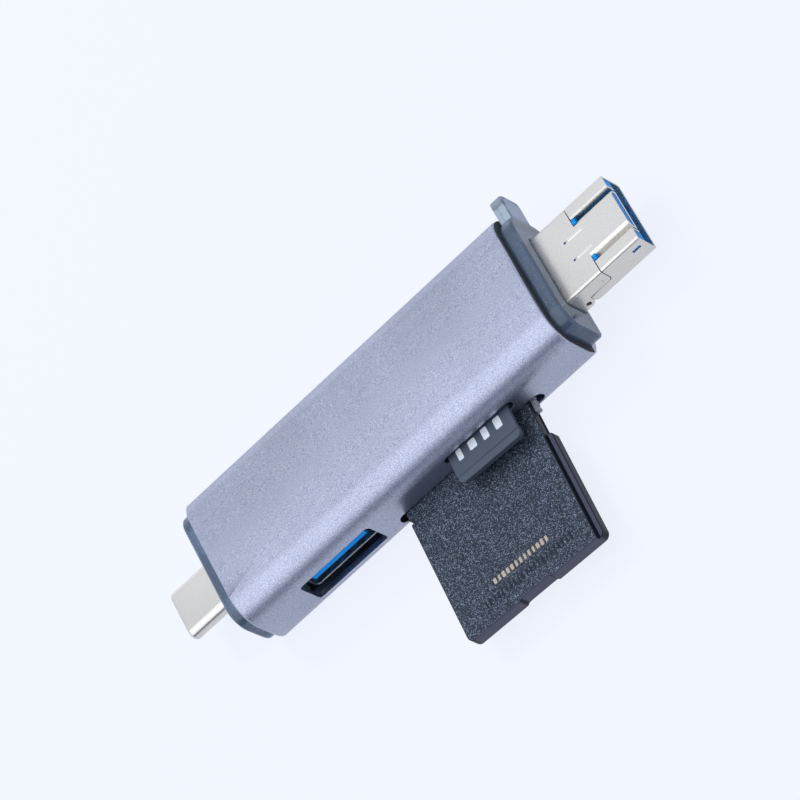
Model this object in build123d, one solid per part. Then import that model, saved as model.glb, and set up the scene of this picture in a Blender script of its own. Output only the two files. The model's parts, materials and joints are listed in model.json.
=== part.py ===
from build123d import *
import os

# Memory card reader with a USB-C plug at one end, a two-in-one USB-A and micro-USB plug at the other,
# and a USB-A port, a memory card slot and a micro memory card slot in one long side.
# Millimetres. The origin is the centre of the body's bottom face.
# +X runs along the body to the two-in-one plug, +Z is up, and the ports and cards face -Y.

# Aluminium body
BODY_LENGTH = 59.5
BODY_WIDTH = 22.8
BODY_HEIGHT = 12.0
BODY_RADIUS = 4.3
BODY_WALL = 1.0
BODY_END_EDGE = 0.25
RAIL_DEPTH = 0.7
RAIL_HEIGHT = 0.6
SLOT_ROUNDING = 0.96

# Clearances
FIT = 0.05
SHEET_GAP = 0.10
SLIDE_GAP = 0.08
CARD_PLAY = 0.12
CARD_SIDE_PLAY = 0.65
CARD_SLOT_ROOM = 2.8
CARD_SLOT_PLAY = 0.5
MICRO_SIDE_PLAY = 0.65
MICRO_SLOT_ROOM = 1.5
MICRO_SLOT_PLAY = 0.8
PIVOT_PLAY = 0.04

# End caps
CAP_SPIGOT = 5.0
CAP_PLATE_INSET = 1.0
CAP_RING_WALL = 1.2
GASKET_THICKNESS = 0.15
GASKET_INSET = 0.12
PLUG_CAP_REACH = 2.24
PLUG_CAP_FOOT = 2.6
LUG_ROOT = 3.0
PLUG_CAP_EDGE = 0.3
PLUG_MOUTH_CHAMFER = 0.35
C_CAP_REACH = 1.8
C_CAP_EDGE = 0.3
LUG_REACH = 4.15
LUG_HEIGHT = 4.55
LUG_RISE = 0.9
LUG_CORNER = 0.9

# Two-in-one plug
PLUG_WIDTH = 12.0
PLUG_HEIGHT = 4.5
PLUG_DROP = 0.17
PLUG_REACH = 13.1
PLUG_SHEET = 0.3
PLUG_BEND = 0.45
PLUG_TAIL = 4.8
COVER_REACH = 6.2
COVER_SIDE_DROP = 0.38
COVER_CORNER = 0.5
PIVOT_REACH = 1.34
PIVOT_DROP = 1.15
PIVOT_RADIUS = 0.36
PIVOT_SINK = 0.08
EAR_RADIUS = 0.93
MOUTH_HEEL = 0.9
MOUTH_HEEL_RISE = 0.6
ARM_RADIUS = 0.78
ARM_JOGGLE = 1.1
SLOT_WIDTH = 7.66
SLOT_FOLD = 0.2
WINDOW_LENGTH = 1.36
WINDOW_HEIGHT = 0.52
WINDOW_SETBACK = 0.82
WINDOW_RISE = 0.62
LATCH_LENGTH = 2.5
LATCH_WIDTH = 2.0
LATCH_SPACING = 5.2
LATCH_SETBACK = 5.2
RIB_LENGTH = 2.7
RIB_WIDTH = 0.36
RIB_HEIGHT = 0.09
RIB_CORNER = 0.12
RIB_SPACING = 3.15
RIB_OVERLAP = 0.9
RIB_HOLE_RADIUS = 0.17
RIB_HOLE_GAP = 0.42
DETENT_RADIUS = 0.3
DETENT_DEPTH = 0.12
DETENT_SETBACK = 1.2
DETENT_RISE = 0.95
NOSE_TOP_WIDTH = 5.6
NOSE_WIDTH = 6.85
NOSE_HEIGHT = 1.8
NOSE_FLANK = 1.0
NOSE_SHEET = 0.25
NOSE_BEND = 0.3
NOSE_ROOT = 0.6
NOSE_FLOOR_SHARE = 0.42
SHOULDER_LENGTH = 0.65
SHOULDER_GAP = 0.1
INSULATOR_SETBACK = 0.12
MOUTH_BACK_WALL = 2.4
CONTACT_SHEET = 0.15
A_CONTACT_WIDTH = 1.0
A_CONTACT_LENGTH = 5.6
A_CONTACT_SPACINGS = (-3.5, -1.0, 1.0, 3.5)
SPEED_CONTACT_WIDTH = 0.6
SPEED_CONTACT_LENGTH = 0.7
SPEED_CONTACT_PITCH = 2.0
SPEED_CONTACT_COUNT = 5
NOSE_CONTACT_COUNT = 5
NOSE_CONTACT_PITCH = 0.65
NOSE_CONTACT_WIDTH = 0.36
LEAD_LAP = 1.6

# USB-C plug
C_WIDTH = 8.25
C_HEIGHT = 2.4
C_REACH = 8.25
C_SHEET = 0.28
C_TAIL = 2.6
C_LIP = 0.25
C_SLOT_WIDTH = 6.3
C_SLOT_HEIGHT = 0.9
C_SLOT_DEPTH = 5.6
C_NOSE_SETBACK = 0.35
C_CONTACT_COUNT = 12
C_CONTACT_PITCH = 0.5
C_CONTACT_WIDTH = 0.26
C_CONTACT_SHEET = 0.1
C_CONTACT_SETBACK = 1.0

# USB-A port
PORT_CUT_X = -15.0
PORT_SHIFT = 0.25
PORT_DROP = 0.17
PORT_CUT_WIDTH = 13.1
PORT_CUT_HEIGHT = 5.2
PORT_CUT_CORNER = 0.7
PORT_WIDTH = 12.5
PORT_HEIGHT = 5.12
PORT_SHEET = 0.3
PORT_BEND = 0.5
PORT_DEPTH = 13.2
PORT_INSET = 1.25
PORT_BACK = 3.0
PORT_SPRING_LENGTH = 5.0
PORT_SPRING_WIDTH = 1.6
PORT_SPRING_SPACING = 5.4
PORT_SPRING_SETBACK = 2.2
PORT_SPRING_SLIT = 0.35
TONGUE_WIDTH = 9.9
TONGUE_HEIGHT = 1.84
TONGUE_RISE = 0.12
TONGUE_INSET = 0.15
TONGUE_EDGE = 0.12
PORT_CONTACT_LENGTH = 6.5
PORT_CONTACT_SETBACK = 1.2

# Memory card and its socket
CARD_WIDTH = 24.0
CARD_LENGTH = 32.0
CARD_THICKNESS = 2.1
CARD_X = 7.79
CARD_DROP = 2.23
CARD_DEPTH = 8.9
CARD_SKEW = -2.3
CARD_SLOT_X = 7.7
CARD_CORNER = 1.0
CARD_CHAMFER = 4.0
CARD_RAIL_WIDTH = 1.05
CARD_RAIL_DROP = 0.45
CARD_RAIL_GROOVE = 0.2
CARD_RAIL_ROUND = 0.45
CARD_NAIL_WIDTH = 5.7
CARD_NAIL_DEPTH = 0.3
CARD_NOTCH_DEPTH = 0.4
CARD_NOTCH_LENGTH = 0.6
CARD_NOTCH_FROM_END = 21.3
CARD_LOCK_RECESS = 6.9
CARD_LOCK_FROM_END = 18.0
CARD_LOCK_DEPTH = 0.9
LOCK_GROOVE_DEPTH = 0.5
LOCK_GROOVE_HEIGHT = 0.4
TAB_LENGTH = 2.6
TAB_HEIGHT = 1.0
TAB_RISE = 0.4
TAB_SETBACK = 0.15
TAB_GRIP = 0.3
TAB_GRIP_PITCH = 0.65
TAB_GRIP_COUNT = 3
CARD_PAD_COUNT = 9
CARD_PAD_PITCH = 2.5
CARD_PAD_WIDTH = 1.9
CARD_PAD_LENGTH = 5.0
CARD_PAD_POCKET = 0.35
CARD_PAD_SHEET = 0.1
CARD_PAD_SETBACK = 0.9
CARD_GUIDE_X = 8.0
CARD_SOCKET_FRONT = 1.0
CARD_SOCKET_WALL = 0.9
CARD_SOCKET_SHEET = 0.2
CARD_STOP_GAP = 0.7

# Micro memory card and its socket
MICRO_CARD_WIDTH = 11.0
MICRO_CARD_LENGTH = 15.0
MICRO_CARD_THICKNESS = 0.7
MICRO_CARD_LIP = 0.3
MICRO_CARD_LIP_LENGTH = 1.6
MICRO_CARD_X = 11.63
MICRO_CARD_RISE = 1.51
MICRO_CARD_DEPTH = 10.34
MICRO_CARD_SKEW = -2.3
MICRO_CARD_CORNER = 0.8
MICRO_CARD_STEP = 1.3
MICRO_CARD_STEP_FROM_END = 7.0
MICRO_CARD_BEVEL = 0.15
MICRO_CARD_BEVEL_LENGTH = 0.95
MICRO_CARD_GROOVE_WIDTH = 0.22
MICRO_CARD_GROOVE_DEPTH = 0.1
MICRO_SLOT_X = 11.68
MICRO_SLOT_DROP = 0.35
MICRO_PAD_COUNT = 8
MICRO_PAD_PITCH = 1.1
MICRO_PAD_WIDTH = 0.8
MICRO_PAD_LENGTH = 2.9
MICRO_PAD_SETBACK = 0.7
MICRO_PAD_SHEET = 0.06
MICRO_GUIDE_X = 11.8
MICRO_SOCKET_FRONT = 0.8
MICRO_SOCKET_WALL = 0.6
MICRO_SOCKET_FLOOR = 0.2
MICRO_SOCKET_SHEET = 0.2
MICRO_STOP_GAP = 0.5
SPRING_SHEET = 0.12

# Circuit board
BOARD_THICKNESS = 0.8
BOARD_SIDE_GAP = 0.2
BOARD_END_GAP = 0.2
CHIP_SIZE = 6.0
CHIP_HEIGHT = 0.85
CHIP_EDGE = 0.12
HUB_SIZE = 5.0
CHIP_X = -2.2
CHIP_Y = -2.0
HUB_X = 12.5
HUB_Y = 5.4
CRYSTAL_LENGTH = 3.2
CRYSTAL_WIDTH = 2.5
CRYSTAL_HEIGHT = 0.7
CRYSTAL_X = -2.2
CRYSTAL_Y = 5.0
CAPACITOR_COUNT = 8
CAPACITOR_PITCH = 3.0
CAPACITOR_LENGTH = 1.0
CAPACITOR_WIDTH = 0.5
CAPACITOR_HEIGHT = 0.5
CAPACITOR_ROW_Y = 8.3

# Places worked out from the sizes above
MIDDLE = BODY_HEIGHT / 2
SIDE_FACE = -BODY_WIDTH / 2
SIDE_INNER = SIDE_FACE + BODY_WALL
PLUG_END = BODY_LENGTH / 2
C_END = -BODY_LENGTH / 2
CAVITY_WIDTH = BODY_WIDTH - 2 * BODY_WALL
BOARD_TOP = MIDDLE + BOARD_THICKNESS / 2
BOARD_BOTTOM = MIDDLE - BOARD_THICKNESS / 2
RAIL_TOP = BOARD_TOP + FIT + RAIL_HEIGHT
RAIL_BOTTOM = BOARD_BOTTOM - FIT - RAIL_HEIGHT

CAP_HALF_WIDTH = CAVITY_WIDTH / 2 - FIT
GASKET_FACE = PLUG_END + GASKET_THICKNESS
PLUG_FACE = PLUG_END + PLUG_CAP_REACH
PLUG_TIP = PLUG_FACE + PLUG_REACH
PLUG_MIDDLE = MIDDLE - PLUG_DROP
PLUG_TOP = PLUG_MIDDLE + PLUG_HEIGHT / 2
PLUG_BOTTOM = PLUG_MIDDLE - PLUG_HEIGHT / 2
PLUG_BACK = PLUG_FACE - PLUG_TAIL
COVER_FRONT = PLUG_FACE + COVER_REACH
COVER_SIDE = PLUG_MIDDLE - COVER_SIDE_DROP
MOUTH_BACK = COVER_FRONT + SHEET_GAP
MOUTH_SIDE = COVER_SIDE - SHEET_GAP
PIVOT_X = PLUG_FACE + PIVOT_REACH
PIVOT_Z = PLUG_MIDDLE - PIVOT_DROP
EAR_FRONT = PIVOT_X + EAR_RADIUS
MOUTH_REAR = EAR_FRONT + SHEET_GAP
WALL_INNER = PLUG_WIDTH / 2 - PLUG_SHEET
NOSE_TOP = PLUG_TOP
NOSE_BOTTOM = NOSE_TOP - NOSE_HEIGHT
NOSE_BACK = COVER_FRONT - NOSE_ROOT
NOSE_FLOOR = NOSE_BOTTOM + NOSE_SHEET + NOSE_FLOOR_SHARE * NOSE_HEIGHT
BAR_BOTTOM = PLUG_MIDDLE
CHANNEL_FLOOR = NOSE_BOTTOM - SHEET_GAP

C_TIP = C_END - C_CAP_REACH - C_REACH
C_BACK = C_END + C_TAIL
BOARD_C_EDGE = C_BACK + BOARD_END_GAP
BOARD_PLUG_EDGE = PLUG_BACK - BOARD_END_GAP

PORT_X = PORT_CUT_X + PORT_SHIFT
PORT_MIDDLE = MIDDLE - PORT_DROP
PORT_FRONT = SIDE_INNER + PORT_INSET
PORT_REAR = PORT_FRONT + PORT_DEPTH
TONGUE_FRONT = SIDE_INNER + TONGUE_INSET
TONGUE_BOTTOM = PORT_MIDDLE + TONGUE_RISE

CARD_PROUD = CARD_LENGTH - CARD_DEPTH
CARD_TOP = MIDDLE - CARD_DROP + CARD_THICKNESS / 2
CARD_BOTTOM = CARD_TOP - CARD_THICKNESS
LOCK_OUTER = CARD_LOCK_FROM_END - CARD_PROUD
LOCK_INNER = LOCK_OUTER + CARD_LOCK_RECESS
TAB_BOTTOM = CARD_BOTTOM + TAB_RISE
CARD_PLACE = Pos(CARD_X, SIDE_FACE, 0) * Rot(0, 0, CARD_SKEW)
CARD_SLOT_LENGTH = CARD_WIDTH + CARD_SLOT_ROOM
CARD_SLOT_HEIGHT = CARD_THICKNESS + CARD_SLOT_PLAY
CARD_GUIDE_WIDTH = CARD_WIDTH + 2 * CARD_SIDE_PLAY
CARD_SOCKET_MOUTH = SIDE_INNER + CARD_SOCKET_FRONT
CARD_STOP = SIDE_FACE + CARD_DEPTH + CARD_STOP_GAP

MICRO_CARD_PROUD = MICRO_CARD_LENGTH - MICRO_CARD_DEPTH
MICRO_CARD_TOP = MIDDLE + MICRO_CARD_RISE
MICRO_CARD_BOTTOM = MICRO_CARD_TOP - MICRO_CARD_THICKNESS
MICRO_CARD_PLACE = Pos(MICRO_CARD_X, SIDE_FACE, 0) * Rot(0, 0, MICRO_CARD_SKEW)
MICRO_SLOT_LENGTH = MICRO_CARD_WIDTH + MICRO_SLOT_ROOM
MICRO_SLOT_HEIGHT = MICRO_CARD_THICKNESS + MICRO_CARD_LIP + MICRO_SLOT_PLAY
MICRO_GUIDE_WIDTH = MICRO_CARD_WIDTH + 2 * MICRO_SIDE_PLAY
MICRO_SOCKET_MOUTH = SIDE_INNER + MICRO_SOCKET_FRONT
MICRO_STOP = SIDE_FACE + MICRO_CARD_DEPTH + MICRO_STOP_GAP


# Helpers


def block(x_span, y_span, z_span):
    """A box between two coordinates along each axis."""
    size = [high - low for low, high in (x_span, y_span, z_span)]
    centre = [(low + high) / 2 for low, high in (x_span, y_span, z_span)]
    return Pos(*centre) * Box(*size)


def along_x(profile, start, end):
    """A profile drawn in Y and Z, extruded from one X to another."""
    return extrude(Plane.YZ.offset(start) * profile, amount=end - start)


def across_y(profile, low, high):
    """A profile drawn in X and Z, extruded from one Y to another."""
    return extrude(Plane.XZ.offset(-high) * profile, amount=high - low)


def upright(profile, low, high):
    """A profile drawn in X and Y, extruded from one height to another."""
    return extrude(Plane.XY.offset(low) * profile, amount=high - low)


def spread(count, pitch):
    """Evenly spaced places about zero."""
    return [(index - (count - 1) / 2) * pitch for index in range(count)]


def rectangle(low_a, high_a, low_b, high_b):
    """A flat rectangle between two coordinates each way."""
    return Pos((low_a + high_a) / 2, (low_b + high_b) / 2) * Rectangle(high_a - low_a, high_b - low_b)


def body_section(inset):
    """The body's rounded outline, a given distance inside its outer face."""
    outline = RectangleRounded(BODY_WIDTH - 2 * inset, BODY_HEIGHT - 2 * inset, BODY_RADIUS - inset)
    return Pos(0, MIDDLE) * outline


# Aluminium body


def side_cut(x_middle, z_middle, length, height, corner):
    """A rounded cut through the -Y wall and through the rail behind it."""
    outline = Pos(x_middle, z_middle) * RectangleRounded(length, height, corner)
    return across_y(outline, SIDE_FACE - BODY_WALL, SIDE_INNER + RAIL_DEPTH + FIT)


def side_slot(x_middle, z_middle, length, height):
    """A card slot through the -Y wall, with almost fully rounded ends."""
    return side_cut(x_middle, z_middle, length, height, height * SLOT_ROUNDING / 2)


def board_rails():
    """The two ribs on each side wall that the board's edges slide between."""
    rails = []
    for side in (-1, 1):
        wall = side * CAVITY_WIDTH / 2
        reach = wall - side * RAIL_DEPTH
        y_span = (min(wall, reach), max(wall, reach))
        over = (BOARD_TOP + FIT, RAIL_TOP)
        under = (RAIL_BOTTOM, BOARD_BOTTOM - FIT)
        x_span = (C_END + CAP_SPIGOT + FIT, PLUG_END - CAP_SPIGOT - FIT)
        for z_span in (over, under):
            rails.append(block(x_span, y_span, z_span))
    return rails


def body_shell():
    """The extruded tube with its board rails and the three cut-outs."""
    tube = along_x(body_section(0), C_END, PLUG_END)
    end_edges = tube.faces().filter_by(Axis.X).edges()
    tube = chamfer(end_edges, BODY_END_EDGE)
    tube -= along_x(body_section(BODY_WALL), C_END - BODY_WALL, PLUG_END + BODY_WALL)
    tube += board_rails()
    port_half = PORT_WIDTH / 2 + PORT_SHEET + FIT
    socket_half = CARD_GUIDE_WIDTH / 2 + CARD_SOCKET_WALL + CARD_SOCKET_SHEET + 2 * FIT
    rooms = [(PORT_X, port_half), (CARD_GUIDE_X, socket_half)]
    for x_middle, half in rooms:
        y_span = (SIDE_INNER, SIDE_INNER + RAIL_DEPTH + FIT)
        tube -= block((x_middle - half, x_middle + half), y_span, (RAIL_BOTTOM, RAIL_TOP))
    tube -= side_cut(PORT_CUT_X, PORT_MIDDLE, PORT_CUT_WIDTH, PORT_CUT_HEIGHT, PORT_CUT_CORNER)
    tube -= side_slot(CARD_SLOT_X, MIDDLE - CARD_DROP, CARD_SLOT_LENGTH, CARD_SLOT_HEIGHT)
    micro_middle = MICRO_CARD_TOP - MICRO_SLOT_DROP
    return tube - side_slot(MICRO_SLOT_X, micro_middle, MICRO_SLOT_LENGTH, MICRO_SLOT_HEIGHT)


# End caps


def cap_blank(mouth, plate_inner, ring_inner):
    """A cap plate that fills the tube's mouth, with the ring behind it that plugs into the tube."""
    plate = along_x(body_section(BODY_WALL + FIT), min(plate_inner, mouth), max(plate_inner, mouth))
    ring = body_section(BODY_WALL + FIT) - body_section(BODY_WALL + FIT + CAP_RING_WALL)
    return plate + along_x(ring, min(ring_inner, plate_inner), max(ring_inner, plate_inner))


def plug_outline(gap):
    """The two-in-one plug's rounded outline, grown by a gap."""
    outline = RectangleRounded(PLUG_WIDTH + 2 * gap, PLUG_HEIGHT + 2 * gap, PLUG_BEND + gap)
    return Pos(0, PLUG_MIDDLE) * outline


def lug():
    """The flat lug that stands out past the body's +Y side, for a strap."""
    middle = MIDDLE + LUG_RISE
    low = middle - LUG_HEIGHT / 2
    high = middle + LUG_HEIGHT / 2
    outline = rectangle(CAP_HALF_WIDTH - LUG_ROOT, CAP_HALF_WIDTH + LUG_REACH, low, high)
    outer_corners = outline.vertices().sort_by(Axis.X)[-2:]
    plate = along_x(fillet(outer_corners, LUG_CORNER), GASKET_FACE + FIT, PLUG_FACE)
    return chamfer(plate.faces().sort_by(Axis.X)[-1].edges(), PLUG_CAP_EDGE)


def cap_gasket():
    """The dark gasket on the tube's end face, round the cap and open below."""
    ring = body_section(GASKET_INSET) - body_section(BODY_WALL)
    gasket = along_x(ring, PLUG_END, GASKET_FACE)
    return gasket - block((PLUG_END, GASKET_FACE), (SIDE_FACE, -SIDE_FACE), (0, PLUG_CAP_FOOT))


def plug_end_cap():
    """The cap at the two-in-one plug, cut short below, with the lug on its +Y side."""
    cap = cap_blank(PLUG_FACE, PLUG_END - CAP_PLATE_INSET, PLUG_END - CAP_SPIGOT)
    front = cap.faces().sort_by(Axis.X)[-1]
    cap = chamfer(front.edges(), PLUG_CAP_EDGE)
    cap -= block((PLUG_END, PLUG_FACE + FIT), (SIDE_FACE, -SIDE_FACE), (0, PLUG_CAP_FOOT))
    cap += lug()
    cap -= along_x(plug_outline(FIT), PLUG_END - CAP_SPIGOT, PLUG_FACE + FIT)
    wide = Plane.YZ.offset(PLUG_FACE) * plug_outline(FIT + PLUG_MOUTH_CHAMFER)
    narrow = Plane.YZ.offset(PLUG_FACE - PLUG_MOUTH_CHAMFER) * plug_outline(FIT)
    cap -= loft([narrow, wide])
    return cap


def c_outline(inset):
    """The USB-C plug's oval outline, a given distance inside its outer face."""
    return Pos(0, MIDDLE) * SlotOverall(C_WIDTH - 2 * inset, C_HEIGHT - 2 * inset)


def c_end_cap():
    """The thin cap at the USB-C plug."""
    cap = cap_blank(C_END - C_CAP_REACH, C_END + CAP_PLATE_INSET, C_END + CAP_SPIGOT)
    front = cap.faces().sort_by(Axis.X)[0]
    cap = chamfer(front.edges(), C_CAP_EDGE)
    return cap - along_x(c_outline(-FIT), C_END - C_CAP_REACH - FIT, C_END + CAP_SPIGOT)


# Two-in-one plug, fixed half


def nose_outline(inset):
    """The micro-USB nose's outline: narrow on top, wide below."""
    top = NOSE_TOP - inset
    bottom = NOSE_BOTTOM + inset
    half_top = NOSE_TOP_WIDTH / 2 - inset
    half = NOSE_WIDTH / 2 - inset
    knee = NOSE_TOP - NOSE_FLANK
    points = [(-half_top, top), (half_top, top), (half, knee), (half, bottom), (-half, bottom), (-half, knee)]
    return make_face(Polyline(points, close=True))


def cover_side():
    """The fixed cover's side view: the plate over the plug and the ears round the pivot."""
    plate = rectangle(PLUG_BACK, COVER_FRONT, COVER_SIDE, PLUG_TOP + PLUG_SHEET)
    low_front = plate.vertices().sort_by(Axis.Y)[:2].sort_by(Axis.X)[-1:]
    plate = fillet(low_front, COVER_CORNER)
    ear = rectangle(PLUG_BACK, PIVOT_X, PIVOT_Z - EAR_RADIUS, COVER_SIDE)
    ear += rectangle(PIVOT_X, EAR_FRONT, PIVOT_Z, COVER_SIDE)
    ear += Pos(PIVOT_X, PIVOT_Z) * Circle(EAR_RADIUS)
    return plate + ear


def plug_cover():
    """The fixed folded sheet: top, sides with ears, and the micro-USB nose in one with the top."""
    deep = PLUG_HEIGHT * 2
    outline = Pos(0, PLUG_TOP - deep / 2) * RectangleRounded(PLUG_WIDTH, deep, PLUG_BEND)
    bore = RectangleRounded(PLUG_WIDTH - 2 * PLUG_SHEET, deep - 2 * PLUG_SHEET, PLUG_BEND - PLUG_SHEET)
    fold = along_x(outline - Pos(0, PLUG_TOP - deep / 2) * bore, PLUG_BACK, COVER_FRONT)
    cover = fold & across_y(cover_side(), -PLUG_WIDTH, PLUG_WIDTH)
    cover -= across_y(Pos(PIVOT_X, PIVOT_Z) * Circle(PIVOT_RADIUS + FIT / 2), -PLUG_WIDTH, PLUG_WIDTH)
    nose = nose_outline(0)
    nose = chamfer(nose.vertices().sort_by(Axis.Y)[-2:], NOSE_BEND)
    cover += along_x(nose - nose_outline(NOSE_SHEET), NOSE_BACK, PLUG_TIP)
    rib_front = COVER_FRONT + RIB_OVERLAP
    for y in spread(2, RIB_SPACING):
        rib = Pos(rib_front - RIB_LENGTH / 2, y) * Rectangle(RIB_LENGTH, RIB_WIDTH)
        rib = chamfer(rib.vertices(), RIB_CORNER)
        cover += upright(rib, PLUG_TOP - PLUG_SHEET / 2, PLUG_TOP + RIB_HEIGHT)
        hole = Pos(rib_front - RIB_LENGTH - RIB_HOLE_GAP, y) * Circle(RIB_HOLE_RADIUS)
        cover -= upright(hole, PLUG_TOP - 2 * PLUG_SHEET, PLUG_TOP + PLUG_SHEET)
    for side in (-1, 1):
        dimple = Pos(COVER_FRONT - DETENT_SETBACK, side * PLUG_WIDTH / 2, COVER_SIDE + DETENT_RISE)
        cover -= dimple * Rot(90, 0, 0) * Cylinder(DETENT_RADIUS, 2 * DETENT_DEPTH)
    return cover


def pivot_pins():
    """The two short pins in the ears that the swinging mouth turns on."""
    pins = []
    inner = WALL_INNER - SHEET_GAP - PLUG_SHEET - SHEET_GAP
    for side in (-1, 1):
        ends = (side * inner, side * (PLUG_WIDTH / 2 - PIVOT_SINK))
        pins.append(across_y(Pos(PIVOT_X, PIVOT_Z) * Circle(PIVOT_RADIUS), min(ends), max(ends)))
    return pins


def nose_contact(y):
    """One micro-USB contact: along the nose, through the support and down onto the board."""
    front = PLUG_TIP - INSULATOR_SETBACK - NOSE_SHEET
    knee = PLUG_BACK + LEAD_LAP
    line = [(front, NOSE_FLOOR), (knee, NOSE_FLOOR), (PLUG_BACK, BOARD_TOP)]
    line.append((BOARD_PLUG_EDGE - LEAD_LAP, BOARD_TOP))
    back = [(x, z + CONTACT_SHEET) for x, z in reversed(line)]
    strip = make_face(Polyline(line + back, close=True))
    return across_y(strip, y - NOSE_CONTACT_WIDTH / 2, y + NOSE_CONTACT_WIDTH / 2)


def nose_contacts():
    """The row of micro-USB contacts."""
    return [nose_contact(y) for y in spread(NOSE_CONTACT_COUNT, NOSE_CONTACT_PITCH)]


def nose_insulator():
    """The moulding in the micro-USB nose, with the contacts lying on its floor."""
    back = NOSE_BACK + FIT
    front = PLUG_TIP - INSULATOR_SETBACK
    core = along_x(nose_outline(NOSE_SHEET + FIT), back, front)
    upper = block((back - FIT, front + FIT), (-NOSE_WIDTH, NOSE_WIDTH), (NOSE_FLOOR, PLUG_TOP))
    return core - upper


def shoulder(side):
    """One of the blue shoulders beside the nose, at the root of the swinging mouth's slot."""
    half_top = NOSE_TOP_WIDTH / 2 + FIT
    half = NOSE_WIDTH / 2 + FIT
    outer = SLOT_WIDTH / 2 - SHOULDER_GAP
    knee = NOSE_TOP - NOSE_FLANK
    top = PLUG_TOP - SHEET_GAP
    points = [(side * half_top, top), (side * outer, top), (side * outer, NOSE_BOTTOM)]
    points += [(side * half, NOSE_BOTTOM), (side * half, knee)]
    step = along_x(make_face(Polyline(points, close=True)), NOSE_BACK - FIT, COVER_FRONT + SHOULDER_LENGTH)
    under = PLUG_TOP - PLUG_SHEET - FIT
    roof_x = (NOSE_BACK - 2 * FIT, COVER_FRONT + FIT)
    return step - block(roof_x, (-PLUG_WIDTH, PLUG_WIDTH), (under, PLUG_TOP))


def plug_support():
    """The blue moulding that fills the fixed cover and carries the contacts."""
    half = WALL_INNER - FIT
    arm_room = WALL_INNER - 2 * SHEET_GAP - PLUG_SHEET - SHEET_GAP
    front = NOSE_BACK - FIT
    support = block((PLUG_BACK, front), (-half, half), (COVER_SIDE + FIT, PLUG_TOP - PLUG_SHEET - FIT))
    foot = (PIVOT_Z - EAR_RADIUS, COVER_SIDE + 2 * FIT)
    support += block((PLUG_BACK, PLUG_FACE), (-arm_room, arm_room), foot)
    swing_x = (PIVOT_X - EAR_RADIUS, EAR_FRONT + ARM_JOGGLE)
    for y_span in ((-PLUG_WIDTH, -arm_room), (arm_room, PLUG_WIDTH)):
        support -= block(swing_x, y_span, (0, COVER_SIDE + PLUG_SHEET))
    support += [shoulder(-1), shoulder(1)]
    room = NOSE_CONTACT_WIDTH / 2 + FIT
    groove_top = NOSE_FLOOR + CONTACT_SHEET + FIT
    for y in spread(NOSE_CONTACT_COUNT, NOSE_CONTACT_PITCH):
        y_span = (y - room, y + room)
        support -= block((PLUG_BACK + LEAD_LAP - FIT, COVER_FRONT), y_span, (NOSE_FLOOR - FIT, groove_top))
        support -= block((PLUG_BACK - FIT, PLUG_BACK + LEAD_LAP), y_span, (BOARD_TOP - FIT, groove_top))
    return support


# Two-in-one plug, swinging half


def mouth_side():
    """The swinging mouth's side view: full height in front, a low heel behind under the cover."""
    front = rectangle(MOUTH_BACK, PLUG_TIP, PLUG_BOTTOM - PLUG_SHEET, PLUG_TOP + PLUG_SHEET)
    heel = rectangle(MOUTH_REAR, PLUG_TIP, PLUG_BOTTOM - PLUG_SHEET, MOUTH_SIDE)
    corner = COVER_CORNER + SHEET_GAP
    filler = rectangle(MOUTH_BACK - corner, MOUTH_BACK, MOUTH_SIDE, MOUTH_SIDE + corner)
    filler -= Pos(MOUTH_BACK - corner, MOUTH_SIDE + corner) * Circle(corner)
    low = PLUG_BOTTOM - PLUG_HEIGHT
    heel_top = PLUG_BOTTOM + MOUTH_HEEL_RISE
    heel_front = MOUTH_REAR + MOUTH_HEEL
    slope = [(MOUTH_REAR, heel_top), (heel_front, PLUG_BOTTOM), (heel_front, low), (MOUTH_REAR, low)]
    return front + heel + filler - make_face(Polyline(slope, close=True))


def mouth_arm(side):
    """An arm from the mouth's wall, stepped in behind the ear, with its pivot hole."""
    outer = WALL_INNER - SHEET_GAP
    inner = outer - PLUG_SHEET
    low = PIVOT_Z - ARM_RADIUS
    high = PIVOT_Z + ARM_RADIUS - SHEET_GAP
    front = MOUTH_REAR + ARM_JOGGLE
    reach = rectangle(PIVOT_X, front, low, high)
    reach += Pos(PIVOT_X, PIVOT_Z) * Circle(ARM_RADIUS)
    reach -= Pos(PIVOT_X, PIVOT_Z) * Circle(PIVOT_RADIUS + PIVOT_PLAY)
    spans = sorted((side * inner, side * outer))
    arm = across_y(reach, *spans)
    step = rectangle(MOUTH_REAR + FIT, front, low, high)
    return arm + across_y(step, *sorted((side * inner, side * WALL_INNER)))


def mouth_section():
    """The swinging mouth's section: a tube slotted along its top, with the slot's edges turned down."""
    half = SLOT_WIDTH / 2
    section = plug_outline(0) - plug_outline(-PLUG_SHEET)
    section -= rectangle(-half, half, PLUG_MIDDLE, PLUG_TOP)
    for side in (-1, 1):
        near, far = sorted((side * half, side * (half + PLUG_SHEET)))
        section += rectangle(near, far, CHANNEL_FLOOR + FIT, PLUG_TOP)
    top = section.vertices().group_by(Axis.Y)[-1]
    folds = top.sort_by(Axis.X)[1:-1]
    return chamfer(folds, SLOT_FOLD)


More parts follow.
